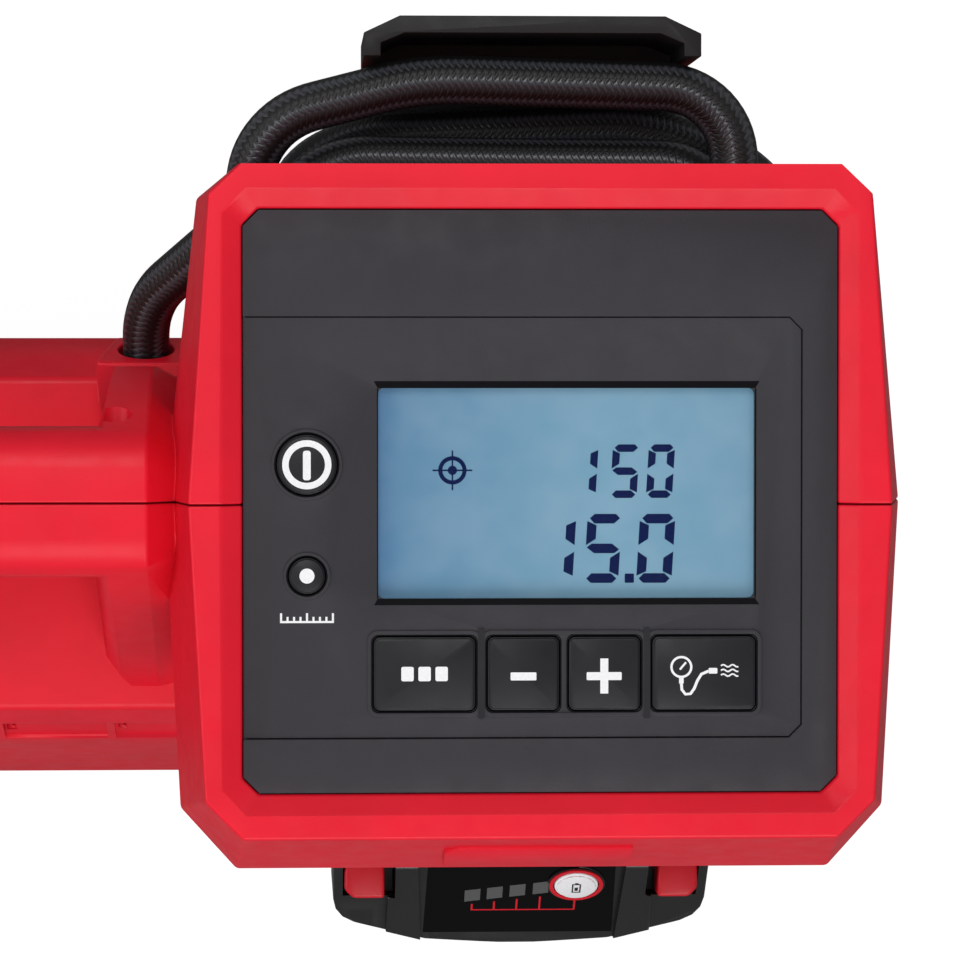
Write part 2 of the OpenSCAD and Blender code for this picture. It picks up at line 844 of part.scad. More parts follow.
// The same line with no step longer than the given one
function spaced(pts, step) = concat(
    [for (i = [0:len(pts) - 2])
        let (n = ceil(norm(pts[i + 1] - pts[i]) / step))
        each [for (k = [0:n - 1]) pts[i] + (pts[i + 1] - pts[i]) * k / n]],
    [pts[len(pts) - 1]]
);

function heading(pts, i) = unit(pts[min(i + 1, len(pts) - 1)] - pts[max(i - 1, 0)]);

// Tube swept along a line of points
module tube(pts, d, sides) {
    n = len(pts);
    rings = [for (i = [0:n - 1])
        let (t = heading(pts, i), side = unit(cross([0, 0, 1], t)), up = cross(t, side))
        each [for (k = [0:sides - 1])
            let (a = k * 360 / sides)
            pts[i] + d / 2 * (cos(a) * side + sin(a) * up)]];
    walls = [for (i = [0:n - 2], k = [0:sides - 1])
        let (a = i * sides + k, b = i * sides + (k + 1) % sides)
        each [[a, a + sides, b], [b, a + sides, b + sides]]];
    caps = [for (k = [1:sides - 2])
        each [[0, k, k + 1], [(n - 1) * sides, (n - 1) * sides + k + 1, (n - 1) * sides + k]]];
    polyhedron(rings, concat(walls, caps), convexity = 10);
}

hose_line = spaced(bends, 11);
hose_steps = [for (i = [1:len(hose_line) - 1]) norm(hose_line[i] - hose_line[i - 1])];
hose_length = hose_steps * [for (step = hose_steps) 1];
echo(hose_length = hose_length);

module hose() color([0.2, 0.2, 0.21]) place() tube(hose_line, hose_d, 8);

// Grommet and barb that hold the hose in the outlet
module hose_gland() {
    color("dimgray") place() translate(face_at) rotate([-face_tilt, 0, 0]) translate([0, 0, -outlet_depth])
        cylinder(r = outlet_r - 0.05, h = outlet_depth - gland_depth);
}

module hose_ferrule() {
    color("silver") place() difference() {
        union() {
            rod_y([chuck_x, chuck_z], ferrule_r, body_rear, ferrule_rear);
            rod_y([chuck_x, chuck_z], ferrule_r + 0.3, body_rear + 2, body_rear + 3.5);
        }
        for (y = [ferrule_rear - 4, ferrule_rear - 6.5])
            translate([chuck_x, y, chuck_z]) rotate([90, 0, 0])
                rotate_extrude() translate([ferrule_r, 0]) circle(r = 0.5);
    }
}

module chuck_body() {
    color("goldenrod") place() difference() {
        union() {
            rod_y([chuck_x, chuck_z], chuck_r, collar_rear, body_rear);
            rod_y([chuck_x, chuck_z], nose_r, mouth_y + valve_depth, collar_rear + 1);
        }
        rod_y([chuck_x, chuck_z], valve_r - 1.4, mouth_y, body_rear - 6);
    }
}

// Ribbed collar that screws on to a valve stem
module chuck_collar() {
    color("silver") place() difference() {
        rod_y([chuck_x, chuck_z], collar_r, mouth_y, collar_rear - 0.3);
        rod_y([chuck_x, chuck_z], valve_r, mouth_y - 1, collar_rear);
        rod_y([chuck_x, chuck_z], nose_r + 0.1, mouth_y + valve_depth - 0.1, collar_rear);
        for (a = [0:20:340])
            translate([chuck_x, 0, chuck_z]) rotate([0, a, 0])
                rod_y([collar_r + 0.35, 0], 0.7, mouth_y + 3, mouth_y + 3 + collar_l);
    }
}

// Spring clip on the deck that holds the chuck
module chuck_clip() {
    color([0.16, 0.15, 0.15]) place() difference() {
        box([chuck_x - chuck_r - 2.2, clip_rear - 10, deck], [chuck_x + chuck_r + 1, clip_rear, chuck_z + 2.6]);
        rod_y([chuck_x, chuck_z], chuck_r + 0.15, clip_rear - 11, clip_rear + 1);
        box([chuck_x - 5.4, clip_rear - 11, chuck_z], [chuck_x + 5.4, clip_rear + 1, chuck_z + 8]);
    }
}

// Battery pack ---------------------------------------------------------------------------------

facet_top = [20.5 - pack_front, pack_top - 2];
facet_foot = [0.2 - pack_front, pack_top - 25.94];
facet_tilt = atan2(facet_top[0] - facet_foot[0], facet_top[1] - facet_foot[1]);
facet_lean = 90 - facet_tilt;

function pack_section(inset) = rounded([
    [pack_rear - inset, pack_z + inset, 3], [pack_rear - inset, pack_top - inset, 2],
    [facet_top[0] + 2 + inset * 0.5, pack_top - inset, 3],
    [facet_foot[0] + inset, facet_foot[1] - inset * 0.5, 3],
    [inset - pack_front, facet_foot[1] - 6, 4],
    [inset - pack_front, pack_z + 6, 4], [inset - pack_front + 6, pack_z + inset, 3]
], 3);

function pack_plan(inset) = rounded([
    [inset - pack_w / 2, pack_rear - inset, 2], [inset - pack_w / 2, 7 - pack_front, 6],
    [-20, 1.4 - pack_front + inset], [0, inset - pack_front], [20, 1.4 - pack_front + inset],
    [pack_w / 2 - inset, 7 - pack_front, 6], [pack_w / 2 - inset, pack_rear - inset, 2]
], 3);

module pack_solid(inset) {
    intersection() {
        along_x(pack_section(inset), inset - pack_w / 2, pack_w / 2 - inset);
        upright(pack_plan(inset), pack_z + inset, pack_top - inset);
    }
}

// Ridges' outline from the side, on the pack's top edge, facet and front
function ridge_section() = rounded([
    [facet_top[0] + 3, pack_top - 3], [facet_top[0] + 2, pack_top, 2],
    [facet_top[0] - ridge_h * 0.6, pack_top, 2],
    [facet_foot[0] - ridge_h * 1.1, facet_foot[1] + ridge_h * 0.6, 4],
    [facet_foot[0] - ridge_h, facet_foot[1] - 10, 3], [3 - pack_front, pack_z + 8],
    [6 - pack_front, pack_z + 8], [facet_foot[0] + 4, facet_foot[1] - 6]
]);

// Puts its children on the sloping front facet, s millimetres below its top edge
module on_facet(x, s) {
    translate([x, facet_top[0], facet_top[1]]) rotate([facet_lean, 0, 0]) translate([0, -s, 0]) children();
}

gauge_x = 11.8;
gauge_s = 8;
gauge_r = 4.6;
gauge_deep = 1.8;
led_x = [-10, -5.3, -0.5, 4.4];
led_s = [12.5, 11.6, 10.7, 9.8];
led_rise = 0.32;
led_w = 3.4;
led_l = 4.4;
release_x = 33;
release_w = 8.4;
release_y = -79.8;
release_l = 11;
release_cut = 1.8;
ridge_inner = 20.5;
ridge_outer = 28.4;
ridge_h = 1.6;
release_z = 86.8;
release_gap = 0.3;
release_top = pack_top - 4.6;
rail_z = pack_top - 8;
rail_h = 3.4;
rail_depth = 2;
blade_x = [-12, 0, 12];
blade_z = 93;
blade_t = 1;
blade_half_h = 4;
block_half_w = 20;
cell_r = 9.2;
plate_room = 5;
cell_l = pack_w - 2 * (pack_wall + plate_room);
cell_pitch = 19;
cell_rear = 3;
plate_x = cell_l / 2 + 0.5;
plate_front = -84;
plate_rear = 10;
plate_h = 36;
cell_floor = pack_z + pack_wall + 0.3;

// Window of one charge light, rising to the right, cut back by inset
function led_outline(inset) = [
    [inset - led_w / 2, inset - led_l / 2 - led_rise], [led_w / 2 - inset, inset - led_l / 2 + led_rise],
    [led_w / 2 - inset, led_l / 2 + led_rise - inset], [inset - led_w / 2, led_l / 2 - led_rise - inset]
];

// Pocket of one release button, longer towards the middle by the button's travel
module release_pocket(s) {
    x0 = s * release_x - release_w / 2 - release_gap - max(0, s * release_press);
    x1 = s * release_x + release_w / 2 + release_gap + max(0, -s * release_press);
    half_l = release_l / 2 + release_gap;
    box([x0, release_y - half_l, release_z - release_gap], [x1, release_y + half_l, pack_top + 1]);
}

module battery_case() {
    color([0.12, 0.11, 0.12]) place() difference() {
        union() {
            difference() {
                pack_solid(0);
                pack_solid(pack_wall);
            }
            // Two ridges beside the gauge, down the facet and the front
            intersection() {
                along_x(ridge_section(), -ridge_outer, ridge_outer);
                upright(pack_plan(-0.1), pack_z, pack_top + 1);
                for (s = [-1, 1])
                    upright(rounded([
                        [s * ridge_inner, -pack_front - 3], [s * ridge_outer, -pack_front - 3],
                        [s * (ridge_outer - 1.2), -60], [s * (ridge_inner + 2.4), -60]
                    ]), pack_z + 5, pack_top);
            }
            // Walls of the pockets for the release buttons and the gauge
            for (s = [-1, 1])
                intersection() {
                    pack_solid(eps);
                    box([s * release_x - 9, release_y - 8, release_z - 2.5],
                        [s * release_x + 9, release_y + 7, pack_top]);
                }
            intersection() {
                pack_solid(eps);
                on_facet(gauge_x, gauge_s) translate([0, 0, -6]) cylinder(r = gauge_r + 2, h = 8);
            }
            on_facet(gauge_x, gauge_s) translate([0, 0, -1]) cylinder(r = gauge_r + 1.5, h = 1.5);
        }
        for (s = [-1, 1]) {
            release_pocket(s);
            box([s * (pack_w / 2 - rail_depth + 5) - 5, -main_half_d, rail_z],
                [s * (pack_w / 2 - rail_depth + 5) + 5, pack_rear + 1, rail_z + rail_h]);
        }
        on_facet(gauge_x, gauge_s) translate([0, 0, -3]) cylinder(r = gauge_r + 0.2, h = 8);
        for (i = [0:3])
            on_facet(led_x[i], led_s[i]) upright(led_outline(0), -3, 2);
        for (x = blade_x)
            box([x - blade_t / 2 - 0.7, pack_rear - 4, blade_z - blade_half_h - 1],
                [x + blade_t / 2 + 0.7, pack_rear + 1, blade_z + blade_half_h + 1]);
    }
}

// Two layers of cells between their end plates
module battery_cells() {
    color("seagreen") place() {
        for (row = [0:4], layer = [0:1])
            rod_x([cell_rear - row * cell_pitch, cell_floor + cell_r + layer * cell_pitch], cell_r,
                -cell_l / 2, cell_l / 2);
        for (s = [-1, 1])
            box([s * plate_x - 1.2, plate_front, cell_floor],
                [s * plate_x + 1.2, plate_rear, cell_floor + plate_h]);
    }
}

// One release button, its outer front corner cut off
module battery_release(s) {
    inner = s * (release_x - release_w / 2);
    outer = s * (release_x + release_w / 2);
    front = release_y - release_l / 2;
    rear = release_y + release_l / 2;
    color([0.75, 0.08, 0.14]) place() upright([
        [inner, front], [outer - s * release_cut, front], [outer, front + release_cut], [outer, rear], [inner, rear]
    ], release_z, release_top);
}

module gauge_button() {
    color("silver") place() on_facet(gauge_x, gauge_s) {
        translate([0, 0, -gauge_deep]) cylinder(r = gauge_r, h = gauge_deep + 0.9);
        translate([0, 0, -gauge_deep]) cylinder(r = gauge_r - 0.5, h = gauge_deep + 1.3);
    }
}

module gauge_leds() {
    color("gray") place() for (i = [0:3])
        on_facet(led_x[i], led_s[i]) upright(led_outline(0.05), -1.9, 0.1);
}

module terminal_block() {
    color("goldenrod") place() {
        box([-block_half_w, bay_back - 3.6, blade_z - 7], [block_half_w, bay_back - 0.1, blade_z + 7]);
        for (x = blade_x)
            box([x - blade_t / 2, pack_rear - 10, blade_z - blade_half_h],
                [x + blade_t / 2, bay_back - 3, blade_z + blade_half_h]);
    }
}

// Feet and screws ------------------------------------------------------------------------------

module foot(i) {
    color([0.1, 0.1, 0.1]) place() translate([foot_at[i][0], foot_at[i][1], 0]) {
        rotate_extrude() polygon([[0, 0], [foot_r - 1.2, 0], [foot_r, 1.2], [foot_r, base_z], [0, base_z]]);
        cylinder(r = foot_peg_r, h = base_z + foot_peg);
    }
}

module case_screw(i) {
    color("dimgray") place() difference() {
        union() {
            rod_y(screw_at[i], screw_r, 0.5 - screw_grip, screw_seat[i] + 0.5);
            rod_y(screw_at[i], screw_head_r, screw_seat[i] + 0.05, screw_seat[i] + screw_head_h);
        }
        rod_y(screw_at[i], 1.3, screw_seat[i] + 1, screw_seat[i] + screw_head_h + 1);
    }
}

// Motor and pump -------------------------------------------------------------------------------

shaft_r = 2;
axle_r = 3;
pin_r = 2.5;
pin_z = gear_z + crank_throw;
crank_right = cylinder_x - rod_t / 2 - 0.5;

// Gear in the Y-Z plane with a tooth at the top when turn is 0
function gear_outline(teeth, turn) =
    let (r = teeth * gear_module / 2, pitch = 360 / teeth)
    [for (i = [0:teeth - 1])
        let (a = 90 + turn + i * pitch)
        each [for (p = [[-0.30, -1.2], [-0.12, 0.9], [0.12, 0.9], [0.30, -1.2]])
            (r + p[1] * gear_module) * [cos(a + p[0] * pitch), sin(a + p[0] * pitch)]]];

module can_profile() {
    difference() {
        square([motor_r, motor_l]);
        translate([-1, 2.5]) square([motor_r - 1, motor_l - 5]);
        translate([-1, -1]) square([1 + shaft_r + 0.05, motor_l + 2]);
    }
}

module motor_can() {
    color("gray") place() translate([motor_left, motor_y, motor_z])
        rotate([0, 90, 0]) rotate_extrude() can_profile();
}

module motor_rotor() {
    color("darkorange") place() {
        rod_x([motor_y, motor_z], shaft_r, motor_left - 6.4, gear_x + gear_t);
        rod_x([motor_y, motor_z], motor_r - 6, motor_left + 12, motor_right - 12);
        translate([0, motor_y, motor_z])
            along_x(gear_outline(pinion_teeth, 180 / pinion_teeth + 180), gear_x, gear_x + gear_t);
    }
}

module cooling_fan() {
    color("black") place() difference() {
        union() {
            rod_x([motor_y, motor_z], 6, motor_left - 6, motor_left - 1);
            for (a = [0:40:320])
                translate([motor_left - 5.6, motor_y, motor_z]) rotate([a, 0, 0])
                    translate([2, 0, 4]) rotate([0, 0, 35]) translate([-2, -0.6, 0]) cube([4, 1.2, 15]);
        }
        rod_x([motor_y, motor_z], shaft_r + 0.02, motor_left - 8, motor_left);
    }
}

module drive_gear() {
    color("silver") place() {
        translate([0, motor_y, gear_z]) along_x(gear_outline(gear_teeth, 0), gear_x, gear_x + gear_t);
        rod_x([motor_y, gear_z], axle_r, frame_x - 1, crank_right - 2);
        rod_x([motor_y, gear_z], crank_throw + pin_r + 2, crank_right - 4, crank_right);
        rod_x([motor_y, pin_z], pin_r, crank_right - 1, crank_right + rod_t + 1.5);
    }
}

module gear_frame() {
    color("lightgray") place() difference() {
        union() {
            box([frame_x, motor_y - frame_half_w, base_z + wall + 0.3],
                [frame_x + frame_t, motor_y + frame_half_w, arm_z + 5]);
            box([frame_x + 1, motor_y - arm_half_w, arm_z], [cylinder_x, motor_y + arm_half_w, arm_z + arm_t]);
            translate([cylinder_x, motor_y, arm_z]) cylinder(r = cylinder_r + 2.5, h = arm_t);
        }
        translate([cylinder_x, motor_y, motor_z]) cylinder(r = cylinder_r + 0.05, h = 30);
        rod_x([motor_y, motor_z], shaft_r + 0.05, frame_x - 1, frame_x + frame_t + 1);
        rod_x([motor_y, gear_z], axle_r + 0.05, frame_x - 1, frame_x + frame_t + 1);
    }
}

module connecting_rod() {
    color("lightgray") place() difference() {
        union() {
            rod_x([motor_y, pin_z], pin_r + 2.6, cylinder_x - rod_t / 2, cylinder_x + rod_t / 2);
            box([cylinder_x - rod_t / 2, motor_y - 2.2, pin_z + 3.5],
                [cylinder_x + rod_t / 2, motor_y + 2.2, piston_z]);
            translate([cylinder_x, motor_y, piston_z - piston_h / 2]) cylinder(r = piston_r, h = piston_h);
        }
        rod_x([motor_y, pin_z], pin_r + 0.05, cylinder_x - rod_t, cylinder_x + rod_t);
    }
}

module cylinder_barrel() {
    translate([cylinder_x, motor_y, cylinder_foot]) difference() {
        cylinder(r = cylinder_r, h = cylinder_top - cylinder_foot);
        translate([0, 0, -1]) cylinder(r = bore_r, h = 80);
    }
}

module air_cylinder() color("silver") place() cylinder_barrel();

valve_h = 5.4;
nipple_z = cylinder_top + head_t + valve_h / 2 - 0.1;
nipple_end = [cylinder_x + 12, motor_y, nipple_z];

module cylinder_head() {
    color("gray") place() {
        translate([cylinder_x, motor_y, cylinder_top]) cylinder(r = cylinder_r, h = head_t);
        translate([cylinder_x, motor_y, cylinder_top]) cylinder(r = 7, h = head_t + valve_h);
        rod_x([motor_y, nipple_z], 1.9, cylinder_x, nipple_end[0]);
    }
}

gland_foot = face_at - outlet_depth * out_dir;
air_corners = [[nipple_end[0] + 10, motor_y, nipple_z, 6], concat(gland_foot - 14 * out_dir, [8])];
air_line = spaced(concat(
    [nipple_end],
    bend(nipple_end, air_corners[0], air_corners[1]),
    bend(air_corners[0], air_corners[1], gland_foot),
    [gland_foot]
), 8);

module air_tube() color("black") place() tube(air_line, 2 * air_tube_r, 8);

// Parts ----------------------------------------------------------------------------------------

front_shell();
rear_shell();
control_panel();
lcd_window();
lcd_module();
control_board();
power_button();
units_button();
memory_key();
minus_key();
plus_key();
inflate_key();
hose_hook();
hook_screw(-1);  // hook_screw_1
hook_screw(1);  // hook_screw_2
hose();
hose_gland();
hose_ferrule();
chuck_body();
chuck_collar();
chuck_clip();
battery_case();
battery_cells();
battery_release(-1);  // battery_release_left
battery_release(1);  // battery_release_right
gauge_button();
gauge_leds();
terminal_block();
foot(0);  // foot_1
foot(1);  // foot_2
foot(2);  // foot_3
foot(3);  // foot_4
case_screw(0);  // case_screw_1
case_screw(1);  // case_screw_2
case_screw(2);  // case_screw_3
case_screw(3);  // case_screw_4
case_screw(4);  // case_screw_5
case_screw(5);  // case_screw_6
motor_can();
motor_rotor();
cooling_fan();
drive_gear();
gear_frame();
connecting_rod();
air_cylinder();  // cylinder
cylinder_head();
air_tube();
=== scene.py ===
"""Portable tyre inflator: finishes, fine detail, studio and camera over its frame."""
import logging
import math
import sys
from dataclasses import dataclass, field
from enum import Enum

import bmesh
import bpy
from mathutils import Matrix, Vector
from mathutils.kdtree import KDTree


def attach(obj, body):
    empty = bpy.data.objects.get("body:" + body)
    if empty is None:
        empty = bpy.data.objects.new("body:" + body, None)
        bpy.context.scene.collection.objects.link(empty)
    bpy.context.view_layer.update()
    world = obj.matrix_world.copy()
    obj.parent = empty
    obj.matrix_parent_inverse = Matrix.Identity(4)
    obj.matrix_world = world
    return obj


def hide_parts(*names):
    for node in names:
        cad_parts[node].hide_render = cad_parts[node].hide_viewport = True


LOG = logging.getLogger("inflator")
MM = 0.001
ORIGIN = Vector((70.7, 0.8, 0.0))

Point = tuple[float, float]
Spot = tuple[float, float, float]
Box = tuple[float, float, float, float]
Bend = tuple[float, float, float, float]
Colour = tuple[float, float, float]
Material = bpy.types.Material
Socket = bpy.types.NodeSocket
Piece = bpy.types.Object
Vert = bmesh.types.BMVert
Edge = bmesh.types.BMEdge
Face = bmesh.types.BMFace
Look = dict[str, Material]


def at(x: float, y: float, z: float = 0.0) -> Vector:
    """Gives a point of the head's axes, in millimetres, as a point of the frame in metres."""
    return (Vector((x, y, z)) + ORIGIN) * MM


def linear(colour: Colour, level: float = 1.0) -> tuple[float, float, float, float]:
    """Turns a display colour of 0 to 255 into linear light.

    Args:
        colour: Red, green and blue as they are seen on a display.
        level: Factor on the linear light.

    Returns:
        The colour as four numbers for a shader socket.
    """
    parts = []
    for value in colour:
        share = value / 255
        light = share / 12.92 if share <= 0.04045 else ((share + 0.055) / 1.055) ** 2.4
        parts.append(min(1.0, light * level))
    return (parts[0], parts[1], parts[2], 1.0)


class Body(Enum):
    """Moving groups of the frame."""

    ROOT = "root"
    PACK = "battery"
    GAUGE = "gauge"
    POWER = "power"
    UNITS = "units"
    MEMORY = "memory"
    MINUS = "minus"
    PLUS = "plus"
    INFLATE = "inflate"
    RELEASE_LEFT = "release_left"
    RELEASE_RIGHT = "release_right"


class Slot(Enum):
    """Finish slots of the record."""

    SHELL = "red_shell"
    PANEL = "panel_dark"
    DISPLAY = "lcd_back"
    KEY = "key_dark"
    BLACK = "black_plastic"
    HOSE = "hose_black"
    PACK = "pack_black"
    RED = "red_button"
    SILVER = "button_silver"


# Finishes -----------------------------------------------------------------------------------------


class Mixer:
    """Builds the node network of one material."""

    def __init__(self, name: str) -> None:
        """Starts a material with a principled shader and object coordinates.

        Args:
            name: Name of the material.
        """
        self.material = bpy.data.materials.new(name)
        self.material.use_nodes = True
        self.tree = self.material.node_tree
        self.shader = self.tree.nodes["Principled BSDF"]
        self.place = self.tree.nodes.new("ShaderNodeTexCoord").outputs["Object"]

    def node(self, kind: str, **settings: object) -> bpy.types.Node:
        """Adds a node and sets its properties."""
        made = self.tree.nodes.new(kind)
        for key, value in settings.items():
            setattr(made, key, value)
        return made

    def join(self, source: Socket, target: Socket) -> None:
        """Links one socket to another."""
        self.tree.links.new(source, target)

    def math(self, kind: str, first: object, second: object = 0.0) -> Socket:
        """Adds one step of arithmetic.

        Args:
            kind: Operation of the math node.
            first: Socket or number.
            second: Socket or number.

        Returns:
            The socket with the result.
        """
        made = self.node("ShaderNodeMath", operation=kind)
        for i, value in enumerate((first, second)):
            if isinstance(value, Socket):
                self.join(value, made.inputs[i])
            else:
                made.inputs[i].default_value = value
        return made.outputs[0]

    def noise(self, grain_mm: float, detail: float = 2.0, squash: Point = (1.0, 1.0)) -> Socket:
        """Adds noise whose grains are about that many millimetres wide.

        Args:
            grain_mm: Width of a grain.
            detail: Octaves of the noise.
            squash: Factors on the coordinate along X and Y.

        Returns:
            The socket with the noise, about 0.5 on average.
        """
        stretch = self.node("ShaderNodeMapping")
        stretch.inputs["Scale"].default_value = (squash[0], squash[1], 1.0)
        self.join(self.place, stretch.inputs["Vector"])
        made = self.node("ShaderNodeTexNoise")
        made.inputs["Scale"].default_value = 1 / (grain_mm * MM)
        made.inputs["Detail"].default_value = detail
        self.join(stretch.outputs[0], made.inputs["Vector"])
        return made.outputs["Fac"]

    def spread(self, source: Socket, low: float, high: float,
               soft: Point = (0.3, 0.7)) -> Socket:
        """Maps a value between two limits on to a range."""
        made = self.node("ShaderNodeMapRange")
        self.join(source, made.inputs["Value"])
        for key, value in zip(("From Min", "From Max", "To Min", "To Max"), (*soft, low, high)):
            made.inputs[key].default_value = value
        return made.outputs["Result"]

    def blend(self, share: Socket, first: object, second: object) -> Socket:
        """Mixes two colours by a share.

        Args:
            share: Socket with 0 for the first colour and 1 for the second.
            first: Socket, or a linear colour.
            second: Socket, or a linear colour.

        Returns:
            The socket with the mixed colour.
        """
        made = self.node("ShaderNodeMix", data_type="RGBA")
        self.join(share, made.inputs["Factor"])
        for key, value in (("A", first), ("B", second)):
            socket = [s for s in made.inputs if s.name == key and s.type == "RGBA"][0]
            if isinstance(value, Socket):
                self.join(value, socket)
            else:
                socket.default_value = value
        return [s for s in made.outputs if s.type == "RGBA"][0]

    def bump(self, height: Socket, depth_mm: float) -> None:
        """Raises the surface by a height of up to that many millimetres."""
        made = self.node("ShaderNodeBump")
        made.inputs["Distance"].default_value = depth_mm * MM
        self.join(height, made.inputs["Height"])
        self.join(made.outputs["Normal"], self.shader.inputs["Normal"])

    def speckle(self, grain_mm: float, first: object, second: object, detail: float = 2.0) -> Socket:
        """Mixes two colours in grains about that many millimetres wide."""
        return self.blend(self.spread(self.noise(grain_mm, detail), 0.0, 1.0), first, second)

    def roughen(self, grain: Socket, low: float, high: float) -> None:
        """Lets the roughness vary between two values with a noise."""
        self.join(self.spread(grain, low, high), self.shader.inputs["Roughness"])

    def paint(self, colour: Socket) -> None:
        """Sets the base colour."""
        self.join(colour, self.shader.inputs["Base Color"])

    def constant(self, **values: float) -> None:
        """Sets plain numbers on the shader, with underscores for spaces."""
        for key, value in values.items():
            self.shader.inputs[key.replace("_", " ")].default_value = value


@dataclass(frozen=True)
class Moulding:
    """Injection-moulded plastic with a fine grain, slight flow marks and a painted highlight on its convex
    edges.
    """

    name: str
    colour: Colour
    roughness: float = 0.36
    grain: float = 0.35
    depth: float = 0.012
    specular: float = 0.28
    coat: float = 0.0
    mottle: float = 0.05
    edge_highlight: float = 0.35
    parting: bool = False

    def material(self) -> Material:
        """Makes the material.

        Returns:
            The finished material.
        """
        mix = Mixer(self.name)
        dark, light = (linear(self.colour, 1.0 + side * self.mottle) for side in (-1, 1))
        tone = mix.speckle(16.0, dark, light, 3.0)
        # Painted highlight: sharp convex edges get a lighter copy of the colour.
        edge = mix.spread(mix.node("ShaderNodeNewGeometry").outputs["Pointiness"], 0.0, self.edge_highlight, (0.52, 0.6))
        tone = mix.blend(edge, tone, linear(self.colour, 1.6))
        height = mix.noise(self.grain)
        if self.parting:
            seam = self.seam(mix)
            tone = mix.blend(seam, tone, linear(self.colour, 0.26))
            height = mix.math("SUBTRACT", height, mix.math("MULTIPLY", seam, 6.0))
        mix.paint(tone)
        mix.roughen(mix.noise(5.0, 4.0), self.roughness - 0.05, self.roughness + 0.07)
        mix.bump(height, self.depth)
        mix.constant(Specular_IOR_Level=self.specular, Coat_Weight=self.coat, Coat_Roughness=0.18)
        return mix.material

    def seam(self, mix: Mixer) -> Socket:
        """Finds the line where the two housing halves meet.

        Args:
            mix: Network of the material.

        Returns:
            The socket with 1 on the line and 0 away from it.
        """
        parts = mix.node("ShaderNodeSeparateXYZ")
        mix.join(mix.place, parts.inputs[0])
        away = mix.math("ABSOLUTE", mix.math("SUBTRACT", parts.outputs["Y"], ORIGIN.y * MM))
        return mix.spread(away, 1.0, 0.0, (0.0001, 0.00028))


@dataclass(frozen=True)
class Metal:
    """Turned, plated or cast metal with fine tool marks."""

    name: str
    colour: Colour
    roughness: float = 0.28
    marks: Point = (1.0, 12.0)
    depth: float = 0.006

    def material(self) -> Material:
        """Makes the material.

        Returns:
            The finished material.
        """
        mix = Mixer(self.name)
        mix.paint(mix.speckle(6.0, linear(self.colour, 0.86), linear(self.colour, 1.06), 3.0))
        lines = mix.noise(0.9, 3.0, self.marks)
        mix.roughen(lines, self.roughness - 0.07, self.roughness + 0.09)
        mix.bump(lines, self.depth)
        mix.constant(Metallic=1.0)
        return mix.material


@dataclass(frozen=True)
class Print:
    """Opaque ink on a moulded face."""

    name: str
    colour: Colour
    roughness: float = 0.45
    specular: float = 0.4

    def material(self) -> Material:
        """Makes the material.

        Returns:
            The finished material.
        """
        mix = Mixer(self.name)
        mix.constant(Specular_IOR_Level=self.specular)
        mix.paint(mix.speckle(0.5, linear(self.colour, 0.94), linear(self.colour, 1.03)))
        mix.roughen(mix.noise(1.5), self.roughness - 0.04, self.roughness + 0.06)
        mix.bump(mix.noise(0.3), 0.004)
        return mix.material


@dataclass(frozen=True)
class Braid:
    """Textile braid over a rubber hose, in rows that slant to the left and right in turn, painted as lit and
    shaded rows.
    """

    name: str
    colour: Colour
    rows: int = 14
    pitch: float = 1.4
    slant: float = 0.9
    zigzag: float = 0.4
    depth: float = 0.12
    lit_rows: Point = (0.4, 1.5)
    shaded_rows: Point = (0.06, 0.18)

    def material(self) -> Material:
        """Makes the material, which reads the tube's own map: turns round it and metres along it.

        Returns:
            The finished material.
        """
        mix = Mixer(self.name)
        parts = mix.node("ShaderNodeSeparateXYZ")
        mix.join(mix.tree.nodes["Texture Coordinate"].outputs["UV"], parts.inputs[0])
        along = mix.math("DIVIDE", parts.outputs["Y"], self.pitch * MM)
        tooth = mix.math("MULTIPLY", mix.math("PINGPONG", along, 0.5), 2.0 * self.zigzag)
        across = mix.math("ADD", mix.math("MULTIPLY", parts.outputs["X"], float(self.rows)), tooth)
        local = mix.math("FRACT", across)
        pair = mix.math("FRACT", mix.math("MULTIPLY", mix.math("FLOOR", across), 0.5))
        odd = mix.math("MULTIPLY", pair, 2.0)
        side = mix.math("SUBTRACT", mix.math("MULTIPLY", odd, 2.0), 1.0)
        lean = mix.math("MULTIPLY", mix.math("MULTIPLY", mix.math("SUBTRACT", local, 0.5), self.slant), side)
        phase = mix.math("FRACT", mix.math("ADD", along, lean))
        yarn = mix.math("SINE", mix.math("MULTIPLY", phase, math.pi))
        row = mix.math("POWER", mix.math("SINE", mix.math("MULTIPLY", local, math.pi)), 0.6)
        height = mix.math("MULTIPLY", mix.math("POWER", yarn, 0.7), row)
        fine = mix.noise(0.22)
        mix.bump(mix.math("ADD", height, mix.math("MULTIPLY", fine, 0.2)), self.depth)
        # Painted light: alternate rows take a lit and a shaded copy of the braid colour, a painted sheen and
        # painted shade, and yarn crowns are painted lighter than the dips between them.
        lit_rows, shaded_rows = (mix.blend(height, *(linear(self.colour, level) for level in levels))
                      for levels in (self.lit_rows, self.shaded_rows))
        mix.paint(mix.blend(odd, lit_rows, shaded_rows))
        mix.join(mix.spread(odd, 0.28, 0.5, (0.0, 1.0)), mix.shader.inputs["Roughness"])
        mix.constant(Specular_IOR_Level=0.5)
        return mix.material


